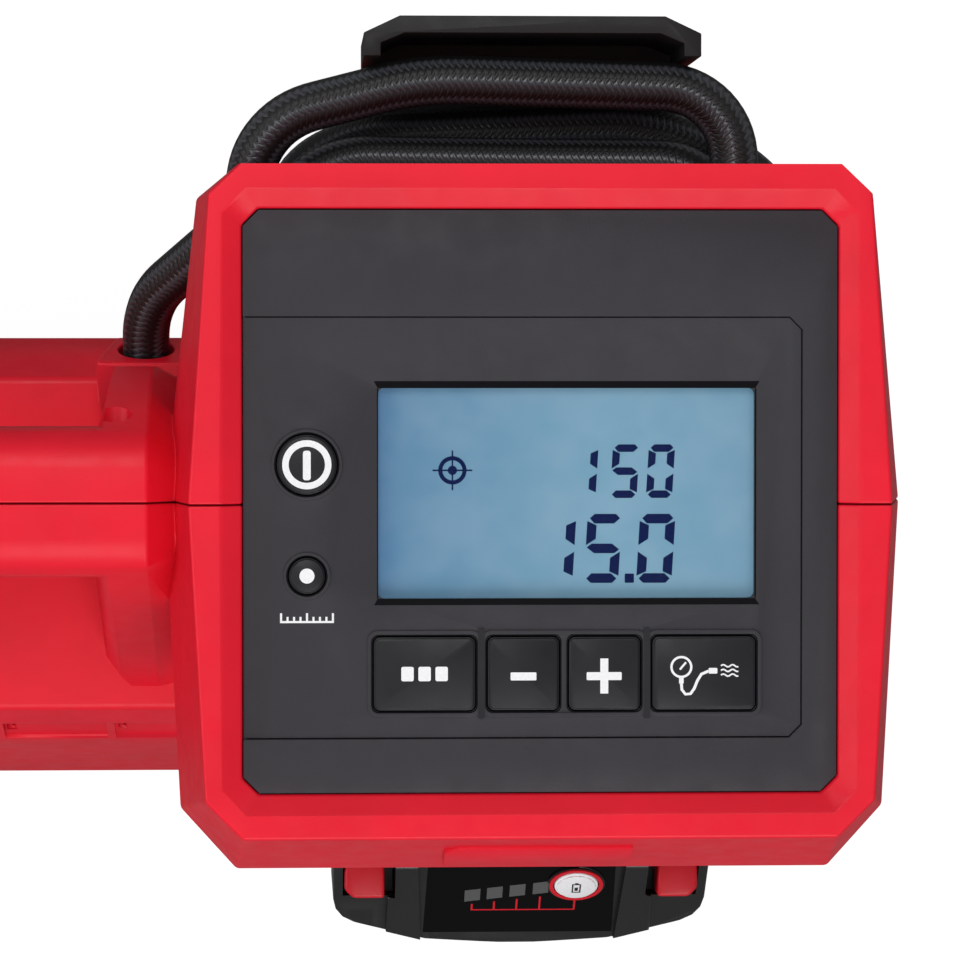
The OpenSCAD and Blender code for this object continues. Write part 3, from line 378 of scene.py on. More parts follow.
@dataclass(frozen=True)
class Backlight:
    """Lit film behind the display, paler to the right of its middle."""

    name: str = "lcd_backlight"
    left: Colour = (70, 115, 154)
    inner: Colour = (85, 126, 156)
    middle: Colour = (107, 148, 171)
    right: Colour = (101, 142, 166)
    veil: Colour = (235, 240, 245)
    left_x: float = -31.5
    right_x: float = 40.8
    glow: float = 0.25

    def material(self) -> Material:
        """Makes the material.

        Returns:
            The finished material.
        """
        mix = Mixer(self.name)
        parts = mix.node("ShaderNodeSeparateXYZ")
        mix.join(mix.place, parts.inputs[0])
        edges = (at(self.left_x, 0).x, at(self.right_x, 0).x)
        ramp = mix.node("ShaderNodeValToRGB")
        mix.join(mix.spread(parts.outputs["X"], 0.0, 1.0, edges), ramp.inputs[0])
        ramp.color_ramp.elements[0].color = linear(self.left)
        ramp.color_ramp.elements[1].color = linear(self.right)
        ramp.color_ramp.elements.new(0.07).color = linear(self.inner)
        ramp.color_ramp.elements.new(0.62).color = linear(self.middle)
        veil = mix.blend(mix.spread(mix.noise(9.0), 0.0, 0.05), ramp.outputs[0], linear(self.veil))
        mix.paint(veil)
        mix.join(veil, mix.shader.inputs["Emission Color"])
        mix.constant(Emission_Strength=self.glow, Roughness=0.5, Specular_IOR_Level=0.2)
        mix.bump(mix.noise(0.4), 0.002)
        return mix.material


@dataclass(frozen=True)
class ClearWindow:
    """Thin clear plastic over the display."""

    name: str = "lcd_clear_window"
    haze: float = 0.03
    dim: Colour = (90, 112, 132)
    bright: Colour = (104, 124, 142)

    def material(self) -> Material:
        """Makes the material.

        Returns:
            The finished material.
        """
        mix = Mixer(self.name)
        mix.paint(mix.speckle(12.0, linear(self.dim), linear(self.bright)))
        mix.roughen(mix.noise(3.0, 3.0), 0.04, 0.1)
        mix.constant(Alpha=self.haze, IOR=1.46)
        return mix.material


@dataclass(frozen=True)
class PaleFloor:
    """Matt studio floor that the camera sees as white, with the object's shadow on it."""

    name: str = "studio_floor"
    shade: Colour = (124, 125, 126)
    lift: float = 0.9

    def material(self) -> Material:
        """Makes the material.

        Returns:
            The finished material.
        """
        mix = Mixer(self.name)
        mix.paint(mix.speckle(60.0, linear(self.shade), linear(self.shade, 1.03)))
        mix.constant(Roughness=0.9, Specular_IOR_Level=0.1)
        rays = mix.node("ShaderNodeLightPath")
        seen = mix.math("MAXIMUM", rays.outputs["Is Camera Ray"], rays.outputs["Is Transmission Ray"])
        mix.shader.inputs["Emission Color"].default_value = (1.0, 1.0, 1.0, 1.0)
        mix.join(mix.math("MULTIPLY", seen, self.lift), mix.shader.inputs["Emission Strength"])
        return mix.material


# Shaping ------------------------------------------------------------------------------------------

SHARP_ANGLE = math.radians(30.0)
FLAT_ANGLE = math.radians(0.6)
MERGE_DISTANCE = 2e-6
CORNER_STEPS = 4
LEAST_FOLD = 1e-7


class Shape:
    """A mesh under construction, in metres of the frame."""

    def __init__(self) -> None:
        """Starts an empty mesh."""
        self.bm = bmesh.new()

    def face(self, outline: list[Point], z: float) -> Face:
        """Adds a flat face from a few corners at one height, in the head's axes."""
        return self.bm.faces.new([self.bm.verts.new(at(x, y, z)) for x, y in outline])

    def lift(self, faces: list[Face], height: float) -> None:
        """Extrudes faces straight up by that many millimetres."""
        made = bmesh.ops.extrude_face_region(self.bm, geom=faces)["geom"]
        verts = [g for g in made if isinstance(g, Vert)]
        bmesh.ops.translate(self.bm, verts=verts, vec=Vector((0, 0, height * MM)))

    def round_corners(self, radius: float) -> None:
        """Rounds the corners of flat faces in plan, before they are raised."""
        bmesh.ops.bevel(self.bm, geom=self.bm.verts[:], offset=radius * MM, affect="VERTICES",
                        segments=CORNER_STEPS, profile=0.5, material=-1)

    def soften(self, width: float, segments: int = 2, fitted: bool = False) -> None:
        """Bevels every sharp edge.

        Args:
            width: Width of the bevel in millimetres.
            segments: Steps across it.
            fitted: Leave out the edges where the bevel has no room, instead of making it narrower everywhere.
        """
        sharp = {e for e in self.bm.edges if len(e.link_faces) == 2 and e.calc_face_angle(0.0) > SHARP_ANGLE}
        crowded = {e for e in sharp if fitted and not self.roomy(e, sharp, width * MM)}
        while crowded:
            sharp -= crowded
            crowded = {e for e in sharp if not self.roomy(e, sharp, width * MM)}
            crowded = crowded or self.folding(sharp, width * MM)
        bmesh.ops.bevel(self.bm, geom=list(sharp), offset=width * MM, offset_type="OFFSET", affect="EDGES",
                        segments=segments, profile=0.5, material=-1, clamp_overlap=not fitted)

    def roomy(self, edge: Edge, sharp: set[Edge], width: float) -> bool:
        """Tells whether a bevel fits into both faces beside an edge.

        Args:
            edge: The edge.
            sharp: Edges that are to be bevelled.
            width: Width of the bevel in metres.

        Returns:
            True where its border crosses the neighbouring edges well before their far ends.
        """
        for loop in edge.link_loops:
            used = 0.0
            after = loop.link_loop_next
            for corner, side in ((loop, loop.link_loop_prev.edge), (after, after.edge)):
                angle = corner.calc_angle()
                if side in sharp:
                    used += width / math.tan(angle / 2)
                    if side.calc_length() < 2.1 * width / math.tan(angle / 2):
                        return False
                    continue
                used += max(0.0, width / math.tan(angle))
                far = side.other_vert(corner.vert)
                shares = 2.1 if any(e in sharp for e in far.link_edges) else 1.1
                if side.calc_length() * math.sin(angle) < shares * width:
                    return False
            if edge.calc_length() < 1.1 * used:
                return False
        return True

    def folding(self, sharp: set[Edge], width: float) -> set[Edge]:
        """Bevels a copy and finds the edges near which its faces fold over.

        Args:
            sharp: Edges that are to be bevelled.
            width: Width of the bevel in metres.

        Returns:
            The edges that end close to a fold.
        """
        self.bm.edges.index_update()
        trial = self.bm.copy()
        trial.edges.ensure_lookup_table()
        bmesh.ops.bevel(trial, geom=[trial.edges[e.index] for e in sharp], offset=width, offset_type="OFFSET",
                        affect="EDGES", segments=1, profile=0.5, material=-1, clamp_overlap=False)
        trial.normal_update()
        spots = []
        for corners in trial.calc_loop_triangles():
            a, b, c = (corner.vert.co for corner in corners)
            turn = (b - a).cross(c - a)
            if turn.length > LEAST_FOLD and turn.dot(corners[0].face.normal) < 0:
                spots += [a.copy(), b.copy(), c.copy()]
        trial.free()
        near = KDTree(len(spots))
        for i, spot in enumerate(spots):
            near.insert(spot, i)
        near.balance()
        return {e for e in sharp if spots and min(near.find(v.co)[2] for v in e.verts) < 2 * width}

    def carry(self, turn: Matrix) -> None:
        """Moves the whole mesh by a matrix in metres about the head's own origin."""
        home = Matrix.Translation(ORIGIN * MM)
        bmesh.ops.transform(self.bm, matrix=home @ turn @ home.inverted(), verts=self.bm.verts[:])

    def finish(self, name: str, material: Material, body: Body, slot: Slot,
               smooth: float = 35.0) -> Piece:
        """Turns the mesh into a finished piece.

        Args:
            name: Name of the piece.
            material: Its finish.
            body: Group it moves with.
            slot: Finish slot of the record; not used.
            smooth: Edges flatter than this angle are shaded smooth.

        Returns:
            The piece's object.
        """
        bmesh.ops.recalc_face_normals(self.bm, faces=self.bm.faces[:])
        mesh = bpy.data.meshes.new(name)
        self.bm.to_mesh(mesh)
        self.bm.free()
        mesh.materials.append(material)
        mesh.shade_smooth()
        mesh.set_sharp_from_angle(angle=math.radians(smooth))
        made = placed(name, mesh)
        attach(made, body.value)
        LOG.info("%s: %d faces on %s", name, len(mesh.polygons), body.value)
        return made


def placed(name: str, data: bpy.types.ID) -> Piece:
    """Makes an object of some data and puts it in the scene."""
    made = bpy.data.objects.new(name, data)
    bpy.context.scene.collection.objects.link(made)
    return made


def dress(node: str, material: Material) -> None:
    """Gives a node of the frame its finish."""
    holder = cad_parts[node]
    holder.data.materials.clear()
    holder.data.materials.append(material)
    LOG.info("%s dressed", node)


def softened(node: str, material: Material, body: Body, slot: Slot, width: float, segments: int = 2,
               fitted: bool = False) -> None:
    """Makes a piece from a merged copy of a node, with its edges rounded.

    Args:
        node: Name of the node that the piece stands for.
        material: Its finish.
        body: Group it moves with.
        slot: Finish slot of the record.
        width: Width of the rounding in millimetres.
        segments: Steps across the rounding.
        fitted: Leave out the edges where the rounding has no room.
    """
    shape = Shape()
    shape.bm.from_mesh(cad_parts[node].data)
    bmesh.ops.remove_doubles(shape.bm, verts=shape.bm.verts[:], dist=MERGE_DISTANCE)
    bmesh.ops.dissolve_limit(shape.bm, angle_limit=FLAT_ANGLE, verts=shape.bm.verts[:],
                             edges=shape.bm.edges[:])
    shape.soften(width, segments, fitted=fitted)
    made = shape.finish(node + "_skin", material, body, slot)
    if fitted:
        made.modifiers.new("flat_faces", "WEIGHTED_NORMAL").keep_sharp = True
    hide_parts(node)


# Hose ---------------------------------------------------------------------------------------------


@dataclass
class WoundHose:
    """Braided hose from its outlet, twice round the neck, to the fittings of its chuck."""

    diameter: float = 9.8
    outlet: Spot = (-78.6, 30.5, 95.0)
    tilt: float = 61.0
    inside: float = 6.0
    straight: float = 10.9
    left: float = -49.5
    right: float = 41.0
    front: float = -26.0
    front_bend: float = 30.0
    end: Spot = (58.5, 22.0, 119.5)
    sides: int = 28
    step: float = 1.6
    line: list[Vector] = field(default_factory=list)

    def corners(self) -> list[Bend]:
        """Gives the corners of the route with their bend radii, in the head's axes.

        Returns:
            Points as x, y, z and radius; the two ends have radius 0.
        """
        out = Vector((0.0, math.sin(math.radians(self.tilt)), math.cos(math.radians(self.tilt))))
        start = Vector(self.outlet) - self.inside * out
        first = Vector(self.outlet) + self.straight * out

        def turn(rear: float, right_z: float, front_z: float, left_z: float, bend: float) -> list[Bend]:
            """Gives the corners of one turn round the neck."""
            return [
                (self.right, rear, right_z, bend),
                (self.right, self.front, front_z, self.front_bend),
                (self.left, self.front, left_z, self.front_bend),
            ]

        return [
            (*start, 0),
            (*first, 22), (-57.6, 57, 124.2, 24), (-54.6, 76, 132, 17), (-22, 84.3, 133.5, 60),
            *turn(82.4, 133.5, 133.5, 133.5, 14.5),
            (self.left, 61, 131, 14), (-38.5, 68.4, 125.8, 20), (4, 68, 123.6, 60),
            *turn(67.8, 123.4, 120.5, 118.2, 15),
            (self.left, 66, 117.4, 16), (-34, 73.4, 113.8, 25), (25, 76, 113.2, 40), (49, 66.2, 117.3, 26),
            (58.5, 43, 119.5, 24),
            (*self.end, 0),
        ]

    def route(self) -> list[Vector]:
        """Rounds the corners and spaces the points evenly.

        Returns:
            Points of the centreline in metres of the frame.
        """
        marks = self.corners()
        rough = [Vector(marks[0][:3])]
        for before, here, after in zip(marks, marks[1:], marks[2:]):
            p = Vector(here[:3])
            u = (Vector(before[:3]) - p).normalized()
            v = (Vector(after[:3]) - p).normalized()
            half = u.angle(v) / 2
            centre = p + (u + v).normalized() * (here[3] / math.sin(half))
            away = (p + u * (here[3] / math.tan(half)) - centre).normalized()
            sweep = math.pi - 2 * half
            count = max(3, math.ceil(math.degrees(sweep) / 5))
            for i in range(count + 1):
                turn = sweep * i / count
                rough.append(centre + here[3] * (math.cos(turn) * away - math.sin(turn) * u))
        rough.append(Vector(marks[-1][:3]))
        total = sum((b - a).length for a, b in zip(rough, rough[1:]))
        count = round(total / self.step)
        even, walked, reach = [], 0.0, 0
        for i in range(count + 1):
            goal = total * i / count
            while reach < len(rough) - 2 and walked + (rough[reach + 1] - rough[reach]).length < goal:
                walked += (rough[reach + 1] - rough[reach]).length
                reach += 1
            span = (rough[reach + 1] - rough[reach]).length
            even.append(rough[reach].lerp(rough[reach + 1], min(1.0, (goal - walked) / span)))
        return [at(*p) for p in even]

    def tube(self) -> bmesh.types.BMesh:
        """Sweeps a ring along the route, with a map of turns round it and metres along it.

        Returns:
            The mesh of the tube.
        """
        bm = bmesh.new()
        radius = self.diameter / 2 * MM
        ring = bmesh.ops.create_circle(bm, cap_ends=False, segments=self.sides, radius=radius)["verts"]
        side = Vector((1.0, 0.0, 0.0))
        frames = []
        for i, p in enumerate(self.line):
            ahead = (self.line[min(i + 1, len(self.line) - 1)] - self.line[max(i - 1, 0)]).normalized()
            side = (side - ahead * side.dot(ahead)).normalized()
            turn = Matrix((side, ahead.cross(side), ahead)).transposed().to_4x4()
            frames.append(Matrix.Translation(p) @ turn)
        flat = [v.co.copy() for v in ring]
        for v, co in zip(ring, flat):
            v.co = frames[0] @ co
        layer = bm.loops.layers.uv.new("along")
        loop = ring
        edges = bm.edges[:]
        travelled = 0.0
        bm.faces.new(list(reversed(ring)))
        for i in range(1, len(frames)):
            made = bmesh.ops.extrude_edge_only(bm, edges=edges)["geom"]
            edges = [g for g in made if isinstance(g, Edge) and len(g.link_faces) == 1]
            walls = [g for g in made if isinstance(g, Face)]
            step = (self.line[i] - self.line[i - 1]).length
            fresh = newer_of(loop, edges)
            for k, v in enumerate(loop):
                fresh[v].co = frames[i] @ flat[k]
            order = {v: k for k, v in enumerate(loop)}
            after = {fresh[v]: k for v, k in order.items()}
            for wall in walls:
                ks = [order.get(c.vert, after.get(c.vert)) for c in wall.loops]
                seam = max(ks) - min(ks) > 1
                for corner, k in zip(wall.loops, ks):
                    turn_share = (self.sides if seam and k == 0 else k) / self.sides
                    run = travelled + (0.0 if corner.vert in order else step)
                    corner[layer].uv = (turn_share, run)
            travelled += step
            loop = [fresh[v] for v in loop]
        bm.faces.new(loop)
        return bm

    def build(self, finish: Material, held: list[Piece]) -> None:
        """Args:
            finish: Material of the braid.
            held: Pieces at its far end; not used.
        """
        self.line = self.route()
        shape = Shape()
        shape.bm.free()
        shape.bm = self.tube()
        made = shape.finish("hose_braid", finish, Body.ROOT, Slot.HOSE, 60.0)
        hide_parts("hose")


def newer_of(loop: list[Vert], rim: list[Edge]) -> dict[Vert, Vert]:
    """Finds the vertex that was extruded from each vertex of a ring.

    Args:
        loop: The older ring.
        rim: Edges of the newer ring.

    Returns:
        The new vertex of each old one.
    """
    newer = {v for e in rim for v in e.verts}
    return {v: e.other_vert(v) for v in loop for e in v.link_edges if e.other_vert(v) in newer}


# Studio -------------------------------------------------------------------------------------------


@dataclass
class Studio:
    """Camera, lamps, world and floor."""

    eye: Spot = (-47.7, 28.8, 971.0)
    aim: Spot = (-11.7, 4.6, 171.0)
    lens: float = 155.7
    sensor: float = 36.0
    middle: Spot = (0.05, 0.0, 0.08)
    lamps: tuple[tuple[str, Spot, float, float], ...] = (
        ("rear_lamp", (-0.1, 0.62, 1.6), 0.6, 6.5),
        ("left_lamp", (-1.1, -0.1, 0.9), 0.9, 5.0),
        ("front_lamp", (0.2, -1.0, 1.15), 0.9, 10.5),
    )
    room_light: float = 0.36

    def camera(self) -> None:
        """Sets the camera above the object, with the object's rear at the top of the picture."""
        data = bpy.data.cameras.new("camera")
        data.lens = self.lens
        data.sensor_width = self.sensor
        data.clip_end = 20.0
        holder = placed("camera", data)
        eye, aim = at(*self.eye), at(*self.aim)
        back = (eye - aim).normalized()
        up = Vector((0.0, 1.0, 0.0))
        right = up.cross(back).normalized()
        turn = Matrix((right, back.cross(right), back)).transposed().to_4x4()
        holder.matrix_world = Matrix.Translation(eye) @ turn
        bpy.context.scene.camera = holder

    def lamp(self, name: str, place: Spot, size: float, watts: float) -> None:
        """Adds a soft square lamp that looks at the object.

        Args:
            name: Name of the lamp.
            place: Where it stands, in metres.
            size: Length of its side in metres.
            watts: Its power.
        """
        data = bpy.data.lights.new(name, "AREA")
        data.size = size
        data.energy = watts
        holder = placed(name, data)
        away = Vector(place) - Vector(self.middle)
        holder.matrix_world = Matrix.Translation(place) @ away.to_track_quat("Z", "Y").to_matrix().to_4x4()

    def world(self) -> None:
        """Fills the room with even light, which the camera sees as white."""
        world = bpy.data.worlds.new("studio")
        world.use_nodes = True
        tree = world.node_tree
        rays = tree.nodes.new("ShaderNodeLightPath")
        seen = tree.nodes.new("ShaderNodeMath")
        seen.operation = "MAXIMUM"
        tree.links.new(rays.outputs["Is Camera Ray"], seen.inputs[0])
        tree.links.new(rays.outputs["Is Transmission Ray"], seen.inputs[1])
        strength = tree.nodes.new("ShaderNodeMapRange")
        strength.inputs["To Min"].default_value = self.room_light
        strength.inputs["To Max"].default_value = 1.0
        tree.links.new(seen.outputs[0], strength.inputs["Value"])
        tree.links.new(strength.outputs["Result"], tree.nodes["Background"].inputs["Strength"])
        tree.nodes["Background"].inputs["Color"].default_value = (1.0, 1.0, 1.0, 1.0)
        bpy.context.scene.world = world

    def floor(self) -> None:
        """Lays the floor under the object."""
        bm = bmesh.new()
        bmesh.ops.create_grid(bm, x_segments=1, y_segments=1, size=4.0)
        mesh = bpy.data.meshes.new("floor")
        bm.to_mesh(mesh)
        bm.free()
        mesh.materials.append(PaleFloor().material())
        holder = placed("floor", mesh)

    def build(self) -> None:
        """Sets up the whole studio."""
        for name, place, size, watts in self.lamps:
            self.lamp(name, place, size, watts)
        self.world()
        self.floor()
        bpy.context.scene.view_settings.view_transform = "Standard"


# Flat drawing -------------------------------------------------------------------------------------

DISC_SIDES = 40
RING_SIDES = 45


def absorb(shape: Shape, part: Shape) -> None:
    """Moves one mesh into another."""
    bmesh.ops.recalc_face_normals(part.bm, faces=part.bm.faces[:])
    holder = bpy.data.meshes.new("part")
    part.bm.to_mesh(holder)
    part.bm.free()
    shape.bm.from_mesh(holder)
    bpy.data.meshes.remove(holder)


def plate(shape: Shape, outline: list[Point], z: float, height: float) -> None:
    """Adds a thin raised plate.

    Args:
        shape: Mesh it goes into.
        outline: Its corners in plan.
        z: Height it stands on.
        height: Its thickness.
    """
    part = Shape()
    part.lift([part.face(outline, z)], height)
    absorb(shape, part)


def bar(shape: Shape, box: Box, z: float, height: float, radius: float = 0.0) -> None:
    """Adds a thin raised rectangle.

    Args:
        shape: Mesh it goes into.
        box: Its left, front, right and rear edge.
        z: Height it stands on.
        height: Its thickness.
        radius: Radius of its corners in plan.
    """
    x0, y0, x1, y1 = box
    part = Shape()
    part.face([(x0, y0), (x1, y0), (x1, y1), (x0, y1)], z)
    if radius:
        part.round_corners(radius)
    part.lift(part.bm.faces[:], height)
    absorb(shape, part)


def disc(shape: Shape, centre: Point, radius: float, z: float, height: float) -> None:
    """Adds a thin raised disc.

    Args:
        shape: Mesh it goes into.
        centre: Its centre.
        radius: Its radius.
        z: Height it stands on.
        height: Its thickness.
    """
    part = Shape()
    place = Matrix.Translation(at(*centre, z))
    bmesh.ops.create_circle(part.bm, cap_ends=True, segments=DISC_SIDES, radius=radius * MM, matrix=place)
    part.lift(part.bm.faces[:], height)
    absorb(shape, part)


def ring(shape: Shape, centre: Point, radii: Point, z: float, height: float) -> None:
    """Adds a thin raised ring.

    Args:
        shape: Mesh it goes into.
        centre: Its centre.
        radii: Its outer and inner radius.
        z: Height it stands on.
        height: Its thickness.
    """
    (x, y), (outer, inner) = centre, radii
    part = Shape()
    section = ((inner, 0), (outer, 0), (outer, height), (inner, height))
    ends = [part.bm.verts.new(at(x + r, y, z + dz)) for r, dz in section]
    edges = [part.bm.edges.new((ends[i], ends[(i + 1) % 4])) for i in range(4)]
    bmesh.ops.spin(part.bm, geom=ends + edges, cent=at(x, y, z), axis=Vector((0, 0, 1)), angle=2 * math.pi,
                   steps=RING_SIDES, use_merge=True)
    bmesh.ops.remove_doubles(part.bm, verts=part.bm.verts[:], dist=1e-7)
    absorb(shape, part)


def stroke(shape: Shape, line: list[Point], width: float, z: float, height: float) -> None:
    """Adds a thin raised line of constant width.

    Args:
        shape: Mesh it goes into.
        line: Points along its middle.
        width: Its width.
        z: Height it stands on.
        height: Its thickness.
    """
    part = Shape()
    spots = [Vector(p) for p in line]
    offsets = []
    for i in range(len(spots)):
        ahead = (spots[min(i + 1, len(spots) - 1)] - spots[max(i - 1, 0)]).normalized()
        offsets.append(Vector((-ahead.y, ahead.x)) * width / 2)
    ends = [part.bm.verts.new(at(*(spots[0] + side * offsets[0]), z)) for side in (-1, 1)]
    edge = part.bm.edges.new(ends)
    for p, shift in zip(spots[1:], offsets[1:]):
        made = bmesh.ops.extrude_edge_only(part.bm, edges=[edge])["geom"]
        edge = [g for g in made if isinstance(g, Edge)][0]
        for v, side in zip(sorted(edge.verts, key=lambda q: q.index), (-1, 1)):
            v.co = at(*(p + side * shift), z)
        part.bm.verts.index_update()
    part.lift(part.bm.faces[:], height)
    absorb(shape, part)


# Display ------------------------------------------------------------------------------------------


class Segment(Enum):
    """Bars of a seven-bar digit."""

    TOP = 0
    UPPER_RIGHT = 1
    LOWER_RIGHT = 2
    BOTTOM = 3
    LOWER_LEFT = 4
    UPPER_LEFT = 5
    MIDDLE = 6


DIGITS: dict[str, tuple[Segment, ...]] = {
    "0": (Segment.TOP, Segment.UPPER_RIGHT, Segment.LOWER_RIGHT, Segment.BOTTOM, Segment.LOWER_LEFT,
          Segment.UPPER_LEFT),
    "1": (Segment.UPPER_RIGHT, Segment.LOWER_RIGHT),
    "5": (Segment.TOP, Segment.UPPER_LEFT, Segment.MIDDLE, Segment.LOWER_RIGHT, Segment.BOTTOM),
}


@dataclass(frozen=True)
class DigitRow:
    """One row of seven-bar digits, each given by its sign, left edge and width."""

    front: float
    height: float
    thick: float
    digits: tuple[tuple[str, float, float], ...]
    slant: float = 0.06

    def bars(self, width: float) -> dict[Segment, list[Point]]:
        """Gives the corners of the bars of one upright digit.

        Args:
            width: Width of the digit.

        Returns:
            Corners of each bar from the digit's front left corner.
        """
        t, w, h, half = self.thick, width, self.height, self.height / 2
        top = [(t * 0.25, h - t * 0.45), (t * 0.75, h), (w - t * 0.65, h), (w - t * 0.2, h - t * 0.45),
               (w - t * 0.8, h - t), (t * 0.75, h - t)]
        middle = [(t * 0.1, half + t * 0.1), (t * 0.6, half + t / 2), (w - t * 0.9, half + t / 2),
                  (w - t * 0.1, half - t * 0.1), (w - t * 0.6, half - t / 2), (t * 0.9, half - t / 2)]
        right = [(w, h - t * 0.75), (w, half + t * 0.35), (w - t, half + t), (w - t, h - t * 1.2)]
        left = [(w - x, y) for x, y in reversed(right)]
        bottom, low_right, low_left = ([(x, h - y) for x, y in reversed(part)] for part in (top, right, left))
        return {Segment.TOP: top, Segment.UPPER_RIGHT: right, Segment.LOWER_RIGHT: low_right,
                Segment.BOTTOM: bottom, Segment.LOWER_LEFT: low_left, Segment.UPPER_LEFT: left,
                Segment.MIDDLE: middle}

    def draw(self, shape: Shape, z: float, height: float) -> None:
        """Adds the row's digits to a mesh.

        Args:
            shape: Mesh they go into.
            z: Height they stand on.
            height: Their thickness.
        """
        for sign, left, width in self.digits:
            outlines = self.bars(width)
            for segment in DIGITS[sign]:
                corners = [(left + x + self.slant * (y - self.height / 2), self.front + y)
                           for x, y in outlines[segment]]
                plate(shape, corners, z, height)


@dataclass
class Display:
    """Lit display with a painted shade round it, two rows of digits and the target sign."""

    left: float = -31.5
    right: float = 41.6
    front: float = -18.3
    rear: float = 22.5
    under: float = 0.6
    film_h: float = 0.02
    back_z: float = 165.42
    ink: float = 0.05
    rows: tuple[DigitRow, ...] = (
        DigitRow(1.1, 10.4, 1.45, (("1", 5.5, 5.6), ("5", 13.9, 5.2), ("0", 20.9, 5.1))),
        DigitRow(-15.4, 13.4, 1.85, (("1", -0.2, 6.9), ("5", 8.9, 6.7), ("0", 19.1, 6.9))),
    )
    point: Box = (16.5, -15.4, 18.3, -13.6)
    target: Point = (-17.0, 6.5)
    target_ring: Point = (2.75, 1.95)
    target_dot: float = 0.9
    target_arms: tuple[Point, ...] = ((0.88, 1.96), (2.74, 3.85))
    target_arm_w: float = 0.3
    surround_z: float = 167.89
    surround_h: float = 0.04
    lap: float = 0.05
    slope_rear: float = 1.3
    slope_front: float = 1.2
    slope_left: float = 0.7
    slope_right: float = 0.8
    line_left: float = 0.12
    line_right: float = 0.2

    def film(self, backlight: Material) -> None:
        """Makes the lit film, a little larger than the window.

        Args:
            backlight: Its finish.
        """
        film = Shape()
        x0, x1, y0, y1 = (self.left - self.under, self.right + self.under, self.front - self.under,
                          self.rear + self.under)
        bar(film, (x0, y0, x1, y1), self.back_z - self.film_h, self.film_h)
        film.finish("lcd_film", backlight, Body.ROOT, Slot.DISPLAY)

    def signs(self, ink: Material) -> None:
        """Makes the dark digits, their point and the target sign.

        Args:
            ink: Their finish.
        """
        signs = Shape()
        z, h = self.back_z, self.ink
        for row in self.rows:
            row.draw(signs, z, h)
        bar(signs, self.point, z, h, 0.2)
        ring(signs, self.target, self.target_ring, z, h)
        disc(signs, self.target, self.target_dot, z, h)
        (x, y), half = self.target, self.target_arm_w / 2
        for reach, end in self.target_arms:
            for side in (-1, 1):
                low, high = sorted((side * reach, side * end))
                bar(signs, (x + low, y - half, x + high, y + half), z, h)
                bar(signs, (x - half, y + low, x + half, y + high), z, h)
        signs.finish("lcd_signs", ink, Body.ROOT, Slot.DISPLAY)

    def surround(self, shade: Material) -> None:
        """Paints shade round the lit area: dark plates where the sunken edge's slopes fall in shade, and dark
        lines along its sides.

        Args:
            shade: Their finish.
        """
        edge = Shape()
        z, h, lap = self.surround_z, self.surround_h, self.lap
        x0, x1, y0, y1 = self.left - lap, self.right + lap, self.front + lap, self.rear - lap
        out0, out1 = x0 - self.slope_left, x1 + self.slope_right
        rear, front = self.rear + self.slope_rear, self.front - self.slope_front
        # Painted shade: flat dark plates stand in for the shaded slopes and edge lines round the window.
        plate(edge, [(out0, rear), (x0, y1), (x1, y1), (out1, rear)], z, h)
        plate(edge, [(out0, front), (out1, front), (x1, y0), (x0, y0)], z, h)
        bar(edge, (x0 - self.line_left, y0 + lap, self.left + lap, y1 - lap), z, h)
        bar(edge, (self.right - lap, y0 + lap, x1 + self.line_right, y1 - lap), z, h)
        edge.finish("lcd_painted_shade", shade, Body.ROOT, Slot.BLACK)

    def build(self, look: Look) -> None:
        """Makes the display's pieces and dresses its window and body.

        Args:
            look: Finishes by name.
        """
        self.film(look["lcd_backlight"])
        self.signs(look["display_ink"])
        self.surround(look["shaded_gap"])
        dress("lcd_window", look["lcd_clear_window"])
        dress("lcd_module", look["black_moulding"])


# Control panel ------------------------------------------------------------------------------------


@dataclass(frozen=True)
class GaugeSign:
    """Sign of a gauge with its hose and three puffs of air."""

    dial: Point = (27.3, -31.6)
    dial_ring: Point = (2.15, 1.7)
    needle: tuple[Point, ...] = ((27.0, -32.1), (28.2, -30.7))
    foot: Box = (26.85, -34.8, 27.75, -33.7)
    hose: tuple[Point, ...] = ((27.3, -34.8), (27.4, -36.0), (28.1, -36.9), (29.1, -36.8), (29.8, -35.8),
                               (30.4, -34.3), (31.2, -33.0), (32.6, -32.4))
    nozzle: Box = (32.6, -32.9, 34.3, -31.8)
    puffs: tuple[float, ...] = (-33.2, -32.3, -31.4)
    puff_left: float = 35.0
    puff_step: float = 0.26
    puff_wave: float = 0.22

    def draw(self, sign: Shape, z: float, h: float) -> None:
        """Adds the sign to a mesh.

        Args:
            sign: Mesh it goes into.
            z: Height it stands on.
            h: Its thickness.
        """
        ring(sign, self.dial, self.dial_ring, z, h)
        stroke(sign, list(self.needle), 0.4, z, h)
        bar(sign, self.foot, z, h)
        stroke(sign, list(self.hose), 0.55, z, h)
        bar(sign, self.nozzle, z, h, 0.2)
        for y in self.puffs:
            wave = [(self.puff_left + self.puff_step * i, y + self.puff_wave * math.sin(i * 0.9))
                    for i in range(14)]
            stroke(sign, wave, 0.3, z, h)


